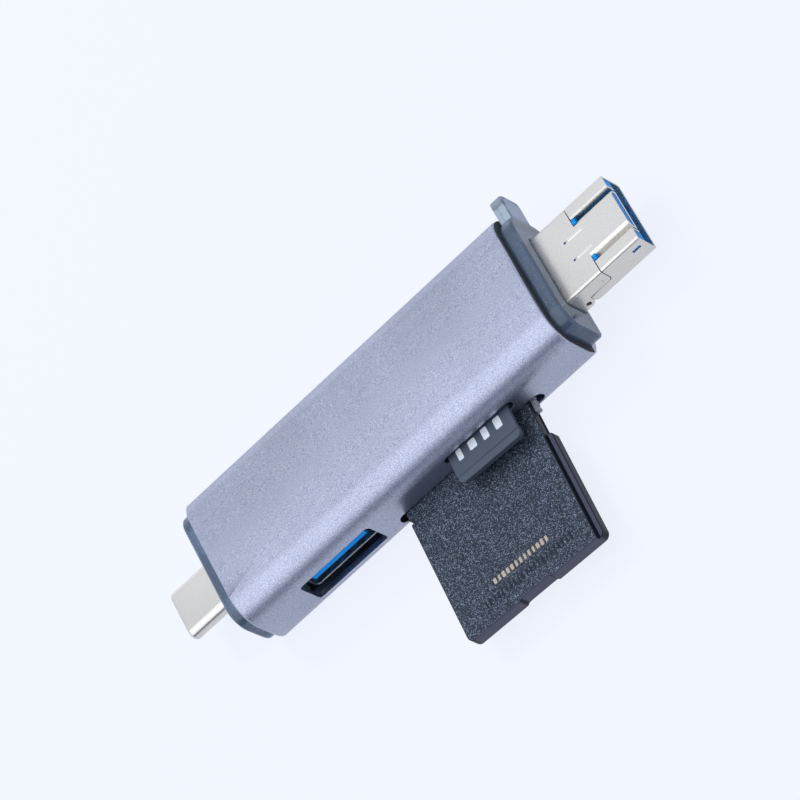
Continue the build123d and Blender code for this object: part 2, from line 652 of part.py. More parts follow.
def flip_mouth():
    """The swinging folded sheet: bottom, sides and the two top strips beside the micro-USB slot."""
    mouth = along_x(mouth_section(), MOUTH_REAR, PLUG_TIP)
    mouth &= across_y(mouth_side(), -PLUG_WIDTH, PLUG_WIDTH)
    window_x = (PLUG_TIP - WINDOW_SETBACK - WINDOW_LENGTH, PLUG_TIP - WINDOW_SETBACK)
    window_z = PLUG_MIDDLE + WINDOW_RISE
    window = (window_z - WINDOW_HEIGHT / 2, window_z + WINDOW_HEIGHT / 2)
    mouth -= block(window_x, (-PLUG_WIDTH, PLUG_WIDTH), window)
    latch_x = (PLUG_TIP - LATCH_SETBACK - LATCH_LENGTH, PLUG_TIP - LATCH_SETBACK)
    for y in spread(2, LATCH_SPACING):
        latch = (y - LATCH_WIDTH / 2, y + LATCH_WIDTH / 2)
        mouth -= block(latch_x, latch, (PLUG_BOTTOM - PLUG_SHEET, PLUG_BOTTOM + 2 * PLUG_SHEET))
    return mouth + mouth_arm(-1) + mouth_arm(1)


def flip_insulator():
    """The blue moulding in the mouth: side cheeks, the thin bar under the nose, and the back wall."""
    front = PLUG_TIP - INSULATOR_SETBACK
    core = along_x(plug_outline(-PLUG_SHEET - FIT), MOUTH_BACK, front)
    core -= block((MOUTH_BACK - FIT, front + FIT), (-PLUG_WIDTH, PLUG_WIDTH), (PLUG_BOTTOM, BAR_BOTTOM))
    half = SLOT_WIDTH / 2 + PLUG_SHEET + FIT
    core -= block((MOUTH_BACK - FIT, front + FIT), (-half, half), (CHANNEL_FLOOR, PLUG_TOP))
    wall = along_x(plug_outline(-PLUG_SHEET - FIT), MOUTH_BACK - MOUTH_BACK_WALL, MOUTH_BACK + PLUG_SHEET)
    above = MOUTH_SIDE - SHEET_GAP
    wall -= block((PLUG_FACE, MOUTH_BACK), (-PLUG_WIDTH, PLUG_WIDTH), (above, PLUG_TOP))
    wall -= block((MOUTH_BACK - FIT, PLUG_TIP), (-PLUG_WIDTH, PLUG_WIDTH), (CHANNEL_FLOOR, PLUG_TOP))
    return core + wall


def flip_contacts():
    """The USB-A contacts under the bar: the four long ones and the row of short fast ones behind."""
    contacts = []
    z_span = (BAR_BOTTOM - CONTACT_SHEET, BAR_BOTTOM)
    front = PLUG_TIP - INSULATOR_SETBACK - WINDOW_SETBACK
    for y in A_CONTACT_SPACINGS:
        y_span = (y - A_CONTACT_WIDTH / 2, y + A_CONTACT_WIDTH / 2)
        contacts.append(block((front - A_CONTACT_LENGTH + SPEED_CONTACT_LENGTH, front), y_span, z_span))
    rear = MOUTH_BACK + PLUG_SHEET + FIT
    for y in spread(SPEED_CONTACT_COUNT, SPEED_CONTACT_PITCH):
        y_span = (y - SPEED_CONTACT_WIDTH / 2, y + SPEED_CONTACT_WIDTH / 2)
        contacts.append(block((rear, rear + SPEED_CONTACT_LENGTH), y_span, z_span))
    return contacts


# USB-C plug


def usb_c_shell():
    """The drawn oval shell, with its front lip eased."""
    shell = along_x(c_outline(0), C_TIP, C_BACK)
    lip = shell.faces().sort_by(Axis.X)[0].edges()
    shell = chamfer(lip, C_LIP)
    return shell - along_x(c_outline(C_SHEET), C_TIP - C_SHEET, C_BACK + C_SHEET)


def usb_c_insulator():
    """The moulding inside the shell, with the slot that takes the socket's tongue."""
    core = along_x(c_outline(C_SHEET + FIT), C_TIP + C_NOSE_SETBACK, C_BACK)
    half = C_SLOT_WIDTH / 2
    deep = C_TIP + C_NOSE_SETBACK + C_SLOT_DEPTH
    z_span = (MIDDLE - C_SLOT_HEIGHT / 2, MIDDLE + C_SLOT_HEIGHT / 2)
    core -= block((C_TIP, deep), (-half, half), z_span)
    rail = C_CONTACT_WIDTH / 2 + FIT
    for y in spread(C_CONTACT_COUNT, C_CONTACT_PITCH):
        for side in (-1, 1):
            near = MIDDLE + side * (BOARD_THICKNESS / 2 - FIT)
            far = MIDDLE + side * (BOARD_THICKNESS / 2 + C_CONTACT_SHEET + FIT)
            core -= block((C_TIP, C_BACK + FIT), (y - rail, y + rail), tuple(sorted((near, far))))
    return core


def usb_c_contacts():
    """The two rows of contacts, which run back and lap onto both faces of the board."""
    contacts = []
    x_span = (C_TIP + C_NOSE_SETBACK + C_CONTACT_SETBACK, BOARD_C_EDGE + LEAD_LAP)
    for y in spread(C_CONTACT_COUNT, C_CONTACT_PITCH):
        y_span = (y - C_CONTACT_WIDTH / 2, y + C_CONTACT_WIDTH / 2)
        for side in (-1, 1):
            near = MIDDLE + side * BOARD_THICKNESS / 2
            far = near + side * C_CONTACT_SHEET
            contacts.append(block(x_span, y_span, tuple(sorted((near, far)))))
    return contacts


# USB-A port


def port_outline(grow):
    """The port's inner outline, grown by a given distance."""
    outline = RectangleRounded(PORT_WIDTH + 2 * grow, PORT_HEIGHT + 2 * grow, PORT_BEND + grow)
    return Pos(PORT_X, PORT_MIDDLE) * outline


def port_shell():
    """The folded port shell, with a pair of spring fingers slit in its floor and its roof."""
    shell = across_y(port_outline(PORT_SHEET) - port_outline(0), PORT_FRONT, PORT_REAR)
    front = PORT_FRONT + PORT_SPRING_SETBACK
    for x in spread(2, PORT_SPRING_SPACING):
        middle = PORT_X + x
        half = PORT_SPRING_WIDTH / 2
        rear = front + PORT_SPRING_LENGTH
        finger = rectangle(middle - half, middle + half, front, rear)
        grown = half + PORT_SPRING_SLIT
        slit = rectangle(middle - grown, middle + grown, front - PORT_SPRING_SLIT, rear)
        shell -= upright(slit - finger, PORT_MIDDLE - PORT_HEIGHT, PORT_MIDDLE + PORT_HEIGHT)
    return shell


def port_tongue():
    """The port's back block and the tongue that stands forward from it."""
    half = TONGUE_WIDTH / 2
    inner = port_outline(-FIT)
    back = across_y(inner, PORT_REAR - PORT_BACK, PORT_REAR)
    tongue_z = (TONGUE_BOTTOM, TONGUE_BOTTOM + TONGUE_HEIGHT)
    tongue_y = (TONGUE_FRONT, PORT_REAR - PORT_BACK)
    tongue = block((PORT_X - half, PORT_X + half), tongue_y, tongue_z)
    nose = tongue.faces().sort_by(Axis.Y)[0].edges().filter_by(Axis.X)
    return chamfer(nose, TONGUE_EDGE) + back


def port_contacts():
    """The contacts on the underside of the tongue."""
    contacts = []
    front = TONGUE_FRONT + PORT_CONTACT_SETBACK
    z_span = (TONGUE_BOTTOM - CONTACT_SHEET, TONGUE_BOTTOM)
    for y in A_CONTACT_SPACINGS:
        x_span = (PORT_X + y - A_CONTACT_WIDTH / 2, PORT_X + y + A_CONTACT_WIDTH / 2)
        contacts.append(block(x_span, (front, front + PORT_CONTACT_LENGTH), z_span))
    return contacts


# Memory card, drawn with its mouth end at the wall and its contact end towards +Y


def card_pad_places():
    """The card's contact pads across its width, from the square corner to the cut one."""
    offset_x = (CARD_WIDTH - CARD_PAD_COUNT * CARD_PAD_PITCH) / 2
    return [x + offset_x / 2 for x in spread(CARD_PAD_COUNT, CARD_PAD_PITCH)]


def card_outline():
    """The card from above: cut corner, side notch, thumbnail notch and lock recess."""
    half = CARD_WIDTH / 2
    outer = -CARD_PROUD
    inner = CARD_DEPTH
    outline = Pos(0, (outer + inner) / 2) * RectangleRounded(CARD_WIDTH, CARD_LENGTH, CARD_CORNER)
    cut = [(-half, inner - CARD_CHAMFER), (-half + CARD_CHAMFER, inner), (-half, inner)]
    outline -= make_face(Polyline(cut, close=True))
    notch_y = outer + CARD_NOTCH_FROM_END - CARD_NOTCH_LENGTH
    outline -= rectangle(-half, -half + CARD_NOTCH_DEPTH, notch_y, notch_y + CARD_NOTCH_LENGTH)
    nail = CARD_NAIL_WIDTH / 2
    nail_floor = nail - CARD_NAIL_DEPTH
    nail_y = outer + CARD_NAIL_DEPTH
    dip = [(-nail, outer), (-nail_floor, nail_y), (nail_floor, nail_y), (nail, outer)]
    outline -= make_face(Polyline(dip, close=True))
    outline -= rectangle(half - CARD_LOCK_DEPTH, half, LOCK_OUTER, LOCK_INNER)
    rail_end = outline.vertices().sort_by_distance((half, LOCK_OUTER, 0))[:1]
    return fillet(rail_end, CARD_RAIL_ROUND)


def memory_card():
    """The card: outline, lowered rail on one side, groove for the lock tab, and contact pockets."""
    half = CARD_WIDTH / 2
    outer = -CARD_PROUD
    inner = CARD_DEPTH
    card = upright(card_outline(), CARD_BOTTOM, CARD_TOP)
    rail_y = (outer, LOCK_OUTER)
    card -= block((half - CARD_RAIL_WIDTH, half), rail_y, (CARD_TOP - CARD_RAIL_DROP, CARD_TOP))
    groove = (half - CARD_RAIL_WIDTH, half - CARD_RAIL_WIDTH + CARD_RAIL_GROOVE)
    card -= block(groove, rail_y, (CARD_TOP - CARD_RAIL_DROP - CARD_RAIL_GROOVE, CARD_TOP))
    wall = half - CARD_LOCK_DEPTH
    groove_low = TAB_BOTTOM - SLIDE_GAP
    groove_z = (groove_low, groove_low + LOCK_GROOVE_HEIGHT)
    card -= block((wall - LOCK_GROOVE_DEPTH, wall), (LOCK_OUTER, LOCK_INNER), groove_z)
    pocket_y = (inner - CARD_PAD_SETBACK - CARD_PAD_LENGTH, inner - CARD_PAD_SETBACK)
    for x in card_pad_places():
        pad = (x - CARD_PAD_WIDTH / 2, x + CARD_PAD_WIDTH / 2)
        card -= block(pad, pocket_y, (CARD_TOP - CARD_PAD_POCKET, CARD_TOP))
    return CARD_PLACE * card


def memory_card_contacts():
    """The gold pads on the floors of the card's pockets."""
    inner = CARD_DEPTH
    pads = []
    pad_y = (inner - CARD_PAD_SETBACK - CARD_PAD_LENGTH + FIT, inner - CARD_PAD_SETBACK - FIT)
    floor = CARD_TOP - CARD_PAD_POCKET
    for x in card_pad_places():
        half = CARD_PAD_WIDTH / 2 - FIT
        pads.append(CARD_PLACE * block((x - half, x + half), pad_y, (floor, floor + CARD_PAD_SHEET)))
    return pads


def lock_tab():
    """The write-protect slider at the unlocked end, tongued into the recess's wall, with a ribbed grip."""
    wall = CARD_WIDTH / 2 - CARD_LOCK_DEPTH
    face = CARD_WIDTH / 2 - TAB_SETBACK
    inner_end = LOCK_INNER - SLIDE_GAP
    y_span = (inner_end - TAB_LENGTH, inner_end)
    tab = block((wall + SLIDE_GAP, face), y_span, (TAB_BOTTOM, TAB_BOTTOM + TAB_HEIGHT))
    for step in spread(TAB_GRIP_COUNT, TAB_GRIP_PITCH):
        y = inner_end - TAB_LENGTH / 2 + step
        groove = (y - TAB_GRIP / 2, y + TAB_GRIP / 2)
        tab -= block((face - TAB_GRIP / 2, face), groove, (TAB_BOTTOM, TAB_BOTTOM + TAB_HEIGHT))
    tongue_x = (wall - LOCK_GROOVE_DEPTH + SLIDE_GAP, wall + SLIDE_GAP)
    tongue_top = TAB_BOTTOM + LOCK_GROOVE_HEIGHT - 2 * SLIDE_GAP
    tab += block(tongue_x, y_span, (TAB_BOTTOM, tongue_top))
    return CARD_PLACE * tab


def card_guide():
    """The inside edges of the socket's two side guides."""
    return CARD_GUIDE_X - CARD_GUIDE_WIDTH / 2, CARD_GUIDE_X + CARD_GUIDE_WIDTH / 2


def spring_reach():
    """The Y span of the socket's contact springs, over the card's pads."""
    inner = SIDE_FACE + CARD_DEPTH
    return inner - CARD_PAD_SETBACK - CARD_PAD_LENGTH, inner - CARD_PAD_SETBACK


def card_socket_frame():
    """The socket's moulding: roof under the board, two side guides and the stop wall."""
    left, right = card_guide()
    rear = CARD_STOP + CARD_SOCKET_WALL
    roof_low = CARD_TOP + CARD_PLAY
    low = CARD_BOTTOM - CARD_PLAY
    x_span = (left - CARD_SOCKET_WALL, right + CARD_SOCKET_WALL)
    frame = block(x_span, (CARD_SOCKET_MOUTH, rear), (low, BOARD_BOTTOM))
    frame -= block((left, right), (CARD_SOCKET_MOUTH - FIT, CARD_STOP), (low - FIT, roof_low))
    near, far = spring_reach()
    for x in card_pad_places():
        half = CARD_PAD_WIDTH / 2
        frame -= block((CARD_X + x - half, CARD_X + x + half), (near - half, far), (low, BOARD_BOTTOM + FIT))
    return frame


def card_socket_cover():
    """The stamped cover under the card, folded up outside the guides."""
    left, right = card_guide()
    outer_left = left - CARD_SOCKET_WALL - FIT
    outer_right = right + CARD_SOCKET_WALL + FIT
    rear = CARD_STOP + CARD_SOCKET_WALL
    high = CARD_BOTTOM - CARD_PLAY - FIT
    y_span = (CARD_SOCKET_MOUTH, rear)
    low = high - CARD_SOCKET_SHEET
    cover = block((outer_left - CARD_SOCKET_SHEET, outer_right + CARD_SOCKET_SHEET), y_span, (low, high))
    for wall in (outer_left - CARD_SOCKET_SHEET, outer_right):
        cover += block((wall, wall + CARD_SOCKET_SHEET), y_span, (low, BOARD_BOTTOM))
    return cover


def card_socket_springs():
    """The contact springs in the roof's slots, under the board."""
    springs = []
    near, far = spring_reach()
    for x in card_pad_places():
        half = CARD_PAD_WIDTH / 4
        z_span = (BOARD_BOTTOM - SPRING_SHEET, BOARD_BOTTOM)
        springs.append(block((CARD_X + x - half, CARD_X + x + half), (near, far - FIT), z_span))
    return springs


# Micro memory card


def micro_pad_places():
    """The micro card's contact pads across its narrow end."""
    return [x - MICRO_CARD_STEP / 2 for x in spread(MICRO_PAD_COUNT, MICRO_PAD_PITCH)]


def micro_card():
    """The card: stepped outline, thicker outer end with a bevel, plain contact side below."""
    half = MICRO_CARD_WIDTH / 2
    outer = -MICRO_CARD_PROUD
    inner = MICRO_CARD_DEPTH
    blank = RectangleRounded(MICRO_CARD_WIDTH, MICRO_CARD_LENGTH, MICRO_CARD_CORNER)
    step_x = half - MICRO_CARD_STEP
    step_y = inner - MICRO_CARD_STEP_FROM_END
    step = [(step_x, inner), (step_x, step_y), (half, step_y - MICRO_CARD_STEP), (half, inner)]
    outline = Pos(0, (outer + inner) / 2) * blank - make_face(Polyline(step, close=True))
    card = upright(outline, MICRO_CARD_BOTTOM - MICRO_CARD_LIP, MICRO_CARD_TOP)
    under = (MICRO_CARD_BOTTOM - MICRO_CARD_LIP, MICRO_CARD_BOTTOM)
    card -= block((-half, half), (outer + MICRO_CARD_LIP_LENGTH, inner), under)
    low_edge = (outer, MICRO_CARD_TOP - MICRO_CARD_BEVEL)
    bevel_end = outer + MICRO_CARD_BEVEL_LENGTH
    bevel = [(outer, MICRO_CARD_TOP), low_edge, (bevel_end, MICRO_CARD_TOP)]
    card -= along_x(make_face(Polyline(bevel, close=True)), -half, half)
    groove_z = (MICRO_CARD_TOP - MICRO_CARD_GROOVE_DEPTH, MICRO_CARD_TOP)
    card -= block((-half, half), (bevel_end, bevel_end + MICRO_CARD_GROOVE_WIDTH), groove_z)
    return MICRO_CARD_PLACE * card


def micro_card_contacts():
    """The gold pads under the micro card's inner end."""
    inner = MICRO_CARD_DEPTH
    pads = []
    pad_y = (inner - MICRO_PAD_SETBACK - MICRO_PAD_LENGTH, inner - MICRO_PAD_SETBACK)
    z_span = (MICRO_CARD_BOTTOM - MICRO_PAD_SHEET, MICRO_CARD_BOTTOM)
    for x in micro_pad_places():
        half = MICRO_PAD_WIDTH / 2
        pads.append(MICRO_CARD_PLACE * block((x - half, x + half), pad_y, z_span))
    return pads


def micro_guide():
    """The inside edges of the micro socket's two side guides."""
    return MICRO_GUIDE_X - MICRO_GUIDE_WIDTH / 2, MICRO_GUIDE_X + MICRO_GUIDE_WIDTH / 2


def micro_socket_base():
    """The micro socket's moulding: floor on the board, two side guides and the stop wall."""
    left, right = micro_guide()
    rear = MICRO_STOP + MICRO_SOCKET_WALL
    high = MICRO_CARD_TOP + CARD_PLAY
    floor = BOARD_TOP + MICRO_SOCKET_FLOOR
    x_span = (left - MICRO_SOCKET_WALL, right + MICRO_SOCKET_WALL)
    base = block(x_span, (MICRO_SOCKET_MOUTH, rear), (BOARD_TOP, high))
    return base - block((left, right), (MICRO_SOCKET_MOUTH - FIT, MICRO_STOP), (floor, high + FIT))


def micro_socket_cover():
    """The stamped cover over the micro card, folded down to the board."""
    left, right = micro_guide()
    outer_left = left - MICRO_SOCKET_WALL - FIT
    outer_right = right + MICRO_SOCKET_WALL + FIT
    rear = MICRO_STOP + MICRO_SOCKET_WALL
    low = MICRO_CARD_TOP + CARD_PLAY + FIT
    high = low + MICRO_SOCKET_SHEET
    y_span = (MICRO_SOCKET_MOUTH, rear)
    cover = block((outer_left - MICRO_SOCKET_SHEET, outer_right + MICRO_SOCKET_SHEET), y_span, (low, high))
    for wall in (outer_left - MICRO_SOCKET_SHEET, outer_right):
        cover += block((wall, wall + MICRO_SOCKET_SHEET), y_span, (BOARD_TOP, high))
    return cover


def micro_socket_springs():
    """The contact springs on the micro socket's floor, under the card's pads."""
    springs = []
    inner = SIDE_FACE + MICRO_CARD_DEPTH
    floor = BOARD_TOP + MICRO_SOCKET_FLOOR
    y_span = (inner - MICRO_PAD_SETBACK - MICRO_PAD_LENGTH, inner - MICRO_PAD_SETBACK)
    for x in micro_pad_places():
        half = MICRO_PAD_WIDTH / 3
        x_span = (MICRO_CARD_X + x - half, MICRO_CARD_X + x + half)
        springs.append(block(x_span, y_span, (floor, floor + SPRING_SHEET)))
    return springs


# Circuit board


def main_board():
    """The board in the body's rails, cut away round the port and between the plug's side walls."""
    half = CAVITY_WIDTH / 2 - BOARD_SIDE_GAP
    board = block((BOARD_C_EDGE, BOARD_PLUG_EDGE), (-half, half), (BOARD_BOTTOM, BOARD_TOP))
    room = PORT_WIDTH / 2 + PORT_SHEET + BOARD_SIDE_GAP
    port_y = (-half, PORT_REAR + BOARD_SIDE_GAP)
    board -= block((PORT_X - room, PORT_X + room), port_y, (BOARD_BOTTOM, BOARD_TOP))
    ring_inner = CAP_HALF_WIDTH - CAP_RING_WALL - BOARD_SIDE_GAP
    c_end_x = (BOARD_C_EDGE, C_END + CAP_SPIGOT + BOARD_SIDE_GAP)
    plug_end_x = (PLUG_END - CAP_SPIGOT - BOARD_SIDE_GAP, BOARD_PLUG_EDGE)
    for x_span in (c_end_x, plug_end_x):
        board -= block(x_span, (-half, -ring_inner), (BOARD_BOTTOM, BOARD_TOP))
        board -= block(x_span, (ring_inner, half), (BOARD_BOTTOM, BOARD_TOP))
    return board


def chip(x, y, size):
    """A square chip on the board's top face, with its top edges eased."""
    half = size / 2
    case = block((x - half, x + half), (y - half, y + half), (BOARD_TOP, BOARD_TOP + CHIP_HEIGHT))
    return chamfer(case.faces().sort_by(Axis.Z)[-1].edges(), CHIP_EDGE)


def crystal():
    """The metal-lidded clock crystal."""
    outline = Pos(CRYSTAL_X, CRYSTAL_Y) * Rectangle(CRYSTAL_LENGTH, CRYSTAL_WIDTH)
    outline = chamfer(outline.vertices(), CHIP_EDGE * 2)
    return upright(outline, BOARD_TOP, BOARD_TOP + CRYSTAL_HEIGHT)


def capacitors():
    """A row of small capacitors along the board's far edge."""
    parts = []
    for x in spread(CAPACITOR_COUNT, CAPACITOR_PITCH):
        x_span = (x - CAPACITOR_LENGTH / 2, x + CAPACITOR_LENGTH / 2)
        y_span = (CAPACITOR_ROW_Y - CAPACITOR_WIDTH / 2, CAPACITOR_ROW_Y + CAPACITOR_WIDTH / 2)
        parts.append(block(x_span, y_span, (BOARD_TOP, BOARD_TOP + CAPACITOR_HEIGHT)))
    return parts


# Every piece by its name


def pieces():
    """Builds each piece. A piece of several separate solids is given as a list."""
    return {
        "body_shell": body_shell(),
        "plug_end_cap": plug_end_cap(),
        "cap_gasket": cap_gasket(),
        "c_end_cap": c_end_cap(),
        "plug_cover": plug_cover(),
        "pivot_pins": pivot_pins(),
        "plug_support": plug_support(),
        "nose_insulator": nose_insulator(),
        "nose_contacts": nose_contacts(),
        "flip_mouth": flip_mouth(),
        "flip_insulator": flip_insulator(),
        "flip_contacts": flip_contacts(),
        "usb_c_shell": usb_c_shell(),
        "usb_c_insulator": usb_c_insulator(),
        "usb_c_contacts": usb_c_contacts(),
        "port_shell": port_shell(),
        "port_tongue": port_tongue(),
        "port_contacts": port_contacts(),
        "memory_card": memory_card(),
        "memory_card_contacts": memory_card_contacts(),
        "lock_tab": lock_tab(),
        "card_socket_frame": card_socket_frame(),
        "card_socket_cover": card_socket_cover(),
        "card_socket_springs": card_socket_springs(),
        "micro_card": micro_card(),
        "micro_card_contacts": micro_card_contacts(),
        "micro_socket_base": micro_socket_base(),
        "micro_socket_cover": micro_socket_cover(),
        "micro_socket_springs": micro_socket_springs(),
        "main_board": main_board(),
        "card_controller": chip(CHIP_X, CHIP_Y, CHIP_SIZE),
        "hub_chip": chip(HUB_X, HUB_Y, HUB_SIZE),
        "crystal": crystal(),
        "capacitors": capacitors(),
    }


def main():
    """Writes one STEP file for each piece."""
    os.makedirs("parts", exist_ok=True)
    for name, shape in pieces().items():
        solid = Compound(children=shape) if isinstance(shape, list) else shape
        export_step(solid, f"parts/{name}.step")


main()
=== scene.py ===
"""Finishes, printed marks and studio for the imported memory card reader.

Sizes in the classes are millimetres in the part's own frame. +X runs along the body to the two-in-one
plug, +Z is up, and the port and the cards face -Y.
"""

import json
import logging
import math
from collections.abc import Callable
from dataclasses import dataclass, field
from enum import Enum
from typing import Any

import bmesh
import bpy
from mathutils import Matrix, Vector

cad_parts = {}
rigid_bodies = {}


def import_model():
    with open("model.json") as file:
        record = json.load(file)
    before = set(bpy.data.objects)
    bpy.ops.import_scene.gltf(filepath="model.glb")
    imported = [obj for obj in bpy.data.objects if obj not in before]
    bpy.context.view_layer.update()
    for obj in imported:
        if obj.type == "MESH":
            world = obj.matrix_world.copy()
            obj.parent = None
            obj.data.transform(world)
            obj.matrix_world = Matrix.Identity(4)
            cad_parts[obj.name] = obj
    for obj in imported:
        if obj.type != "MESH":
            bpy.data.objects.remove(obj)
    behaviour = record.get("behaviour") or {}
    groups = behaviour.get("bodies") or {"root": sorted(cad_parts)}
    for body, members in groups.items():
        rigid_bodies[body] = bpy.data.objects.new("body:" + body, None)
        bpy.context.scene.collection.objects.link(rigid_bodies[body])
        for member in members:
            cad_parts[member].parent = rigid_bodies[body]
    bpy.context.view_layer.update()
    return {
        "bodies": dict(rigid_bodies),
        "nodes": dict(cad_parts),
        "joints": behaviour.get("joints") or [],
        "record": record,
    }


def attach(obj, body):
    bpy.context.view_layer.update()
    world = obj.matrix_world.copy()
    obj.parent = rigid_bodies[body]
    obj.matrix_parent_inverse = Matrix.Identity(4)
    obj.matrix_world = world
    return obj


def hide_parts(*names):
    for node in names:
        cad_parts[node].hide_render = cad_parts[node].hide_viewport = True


LOG = logging.getLogger("card_reader")
MM = 0.001

# Points nearer than this are one point
TOUCH_MM = 0.001

# Faces that turn by less than this are one flat face
FLAT_DEG = 0.4

# The sRGB curve: straight up to the knee, and a power above it
SRGB_KNEE = 0.04045
SRGB_SLOPE = 12.92
SRGB_OFFSET = 0.055
SRGB_POWER = 2.4

# What the noise textures give: their mean, and the range that holds nearly all of it
NOISE_MEAN = 0.5
NOISE_RANGE = (0.3, 0.7)

# How much darker and lighter the broad unevenness makes a surface
CLOUD_SHADE = (0.94, 1.04)

# The sockets of the mix node that take and give colours
MIX_FIRST = 6
MIX_SECOND = 7
MIX_RESULT = 2


class Body(Enum):
    """The part's moving bodies."""

    READER = "reader"
    FLIP_PLUG = "flip_plug"
    LOCK_SLIDER = "lock_slider"


class Slot(Enum):
    """The record's material slots."""

    ALUMINIUM = "aluminium_body"
    SMOKY = "smoky_plastic"
    STEEL = "plated_steel"
    BLUE = "blue_plastic"
    CARD = "card_plastic"
    TAB = "tab_plastic"


def linear(hex_colour: str) -> tuple[float, float, float, float]:
    """Turns an sRGB hex colour into linear values.

    Args:
        hex_colour: A colour written as a hash sign and six hex digits.

    Returns:
        Linear red, green and blue, with an alpha of one.
    """
    values = []
    for start in (1, 3, 5):
        channel = int(hex_colour[start:start + 2], 16) / 255
        curved = ((channel + SRGB_OFFSET) / (1.0 + SRGB_OFFSET)) ** SRGB_POWER
        values.append(channel / SRGB_SLOPE if channel <= SRGB_KNEE else curved)
    return (values[0], values[1], values[2], 1.0)


def add_node(
        tree: bpy.types.NodeTree, kind: str, inputs: dict[Any, Any] | None = None,
        **settings: Any) -> Any:
    """Adds one node with its settings, and links or sets its inputs.

    Args:
        tree: The node tree that gets the node.
        kind: The node's type name.
        inputs: Input names or numbers, each with a value or with the output socket that feeds it.
        **settings: Properties set on the node itself.

    Returns:
        The new node.
    """
    node = tree.nodes.new(kind)
    for name, value in settings.items():
        setattr(node, name, value)
    for key, value in (inputs or {}).items():
        if isinstance(value, bpy.types.NodeSocket):
            tree.links.new(value, node.inputs[key])
        else:
            node.inputs[key].default_value = value
    return node


def ramp(
        tree: bpy.types.NodeTree, value: Any, to_range: tuple[Any, Any],
        from_range: tuple[float, float] = (0.0, 1.0), **settings: Any) -> Any:
    """Carries a value over from one range to another.

    Args:
        tree: The node tree that gets the node.
        value: The output socket that gives the value.
        to_range: What the ends of the first range become, each a number or an output socket.
        from_range: The range that the value is in. Beyond it, the value counts as at its end.
        **settings: Properties set on the node itself.

    Returns:
        The output socket with the result.
    """
    return add_node(tree, "ShaderNodeMapRange", {
        "Value": value, "From Min": from_range[0], "From Max": from_range[1],
        "To Min": to_range[0], "To Max": to_range[1]}, **settings).outputs["Result"]


def mix_colours(tree: bpy.types.NodeTree, share: Any, first: Any, second: Any) -> Any:
    """Gives a colour between two others, by a share from zero to one."""
    mix = add_node(
        tree, "ShaderNodeMix", {0: share, MIX_FIRST: first, MIX_SECOND: second}, data_type="RGBA")
    return mix.outputs[MIX_RESULT]


def cleared_tree(owner: bpy.types.Material | bpy.types.World) -> bpy.types.NodeTree:
    """Gives the node tree of a material or of the room, with nothing in it."""
    owner.use_nodes = True
    owner.node_tree.nodes.clear()
    return owner.node_tree


# Finishes


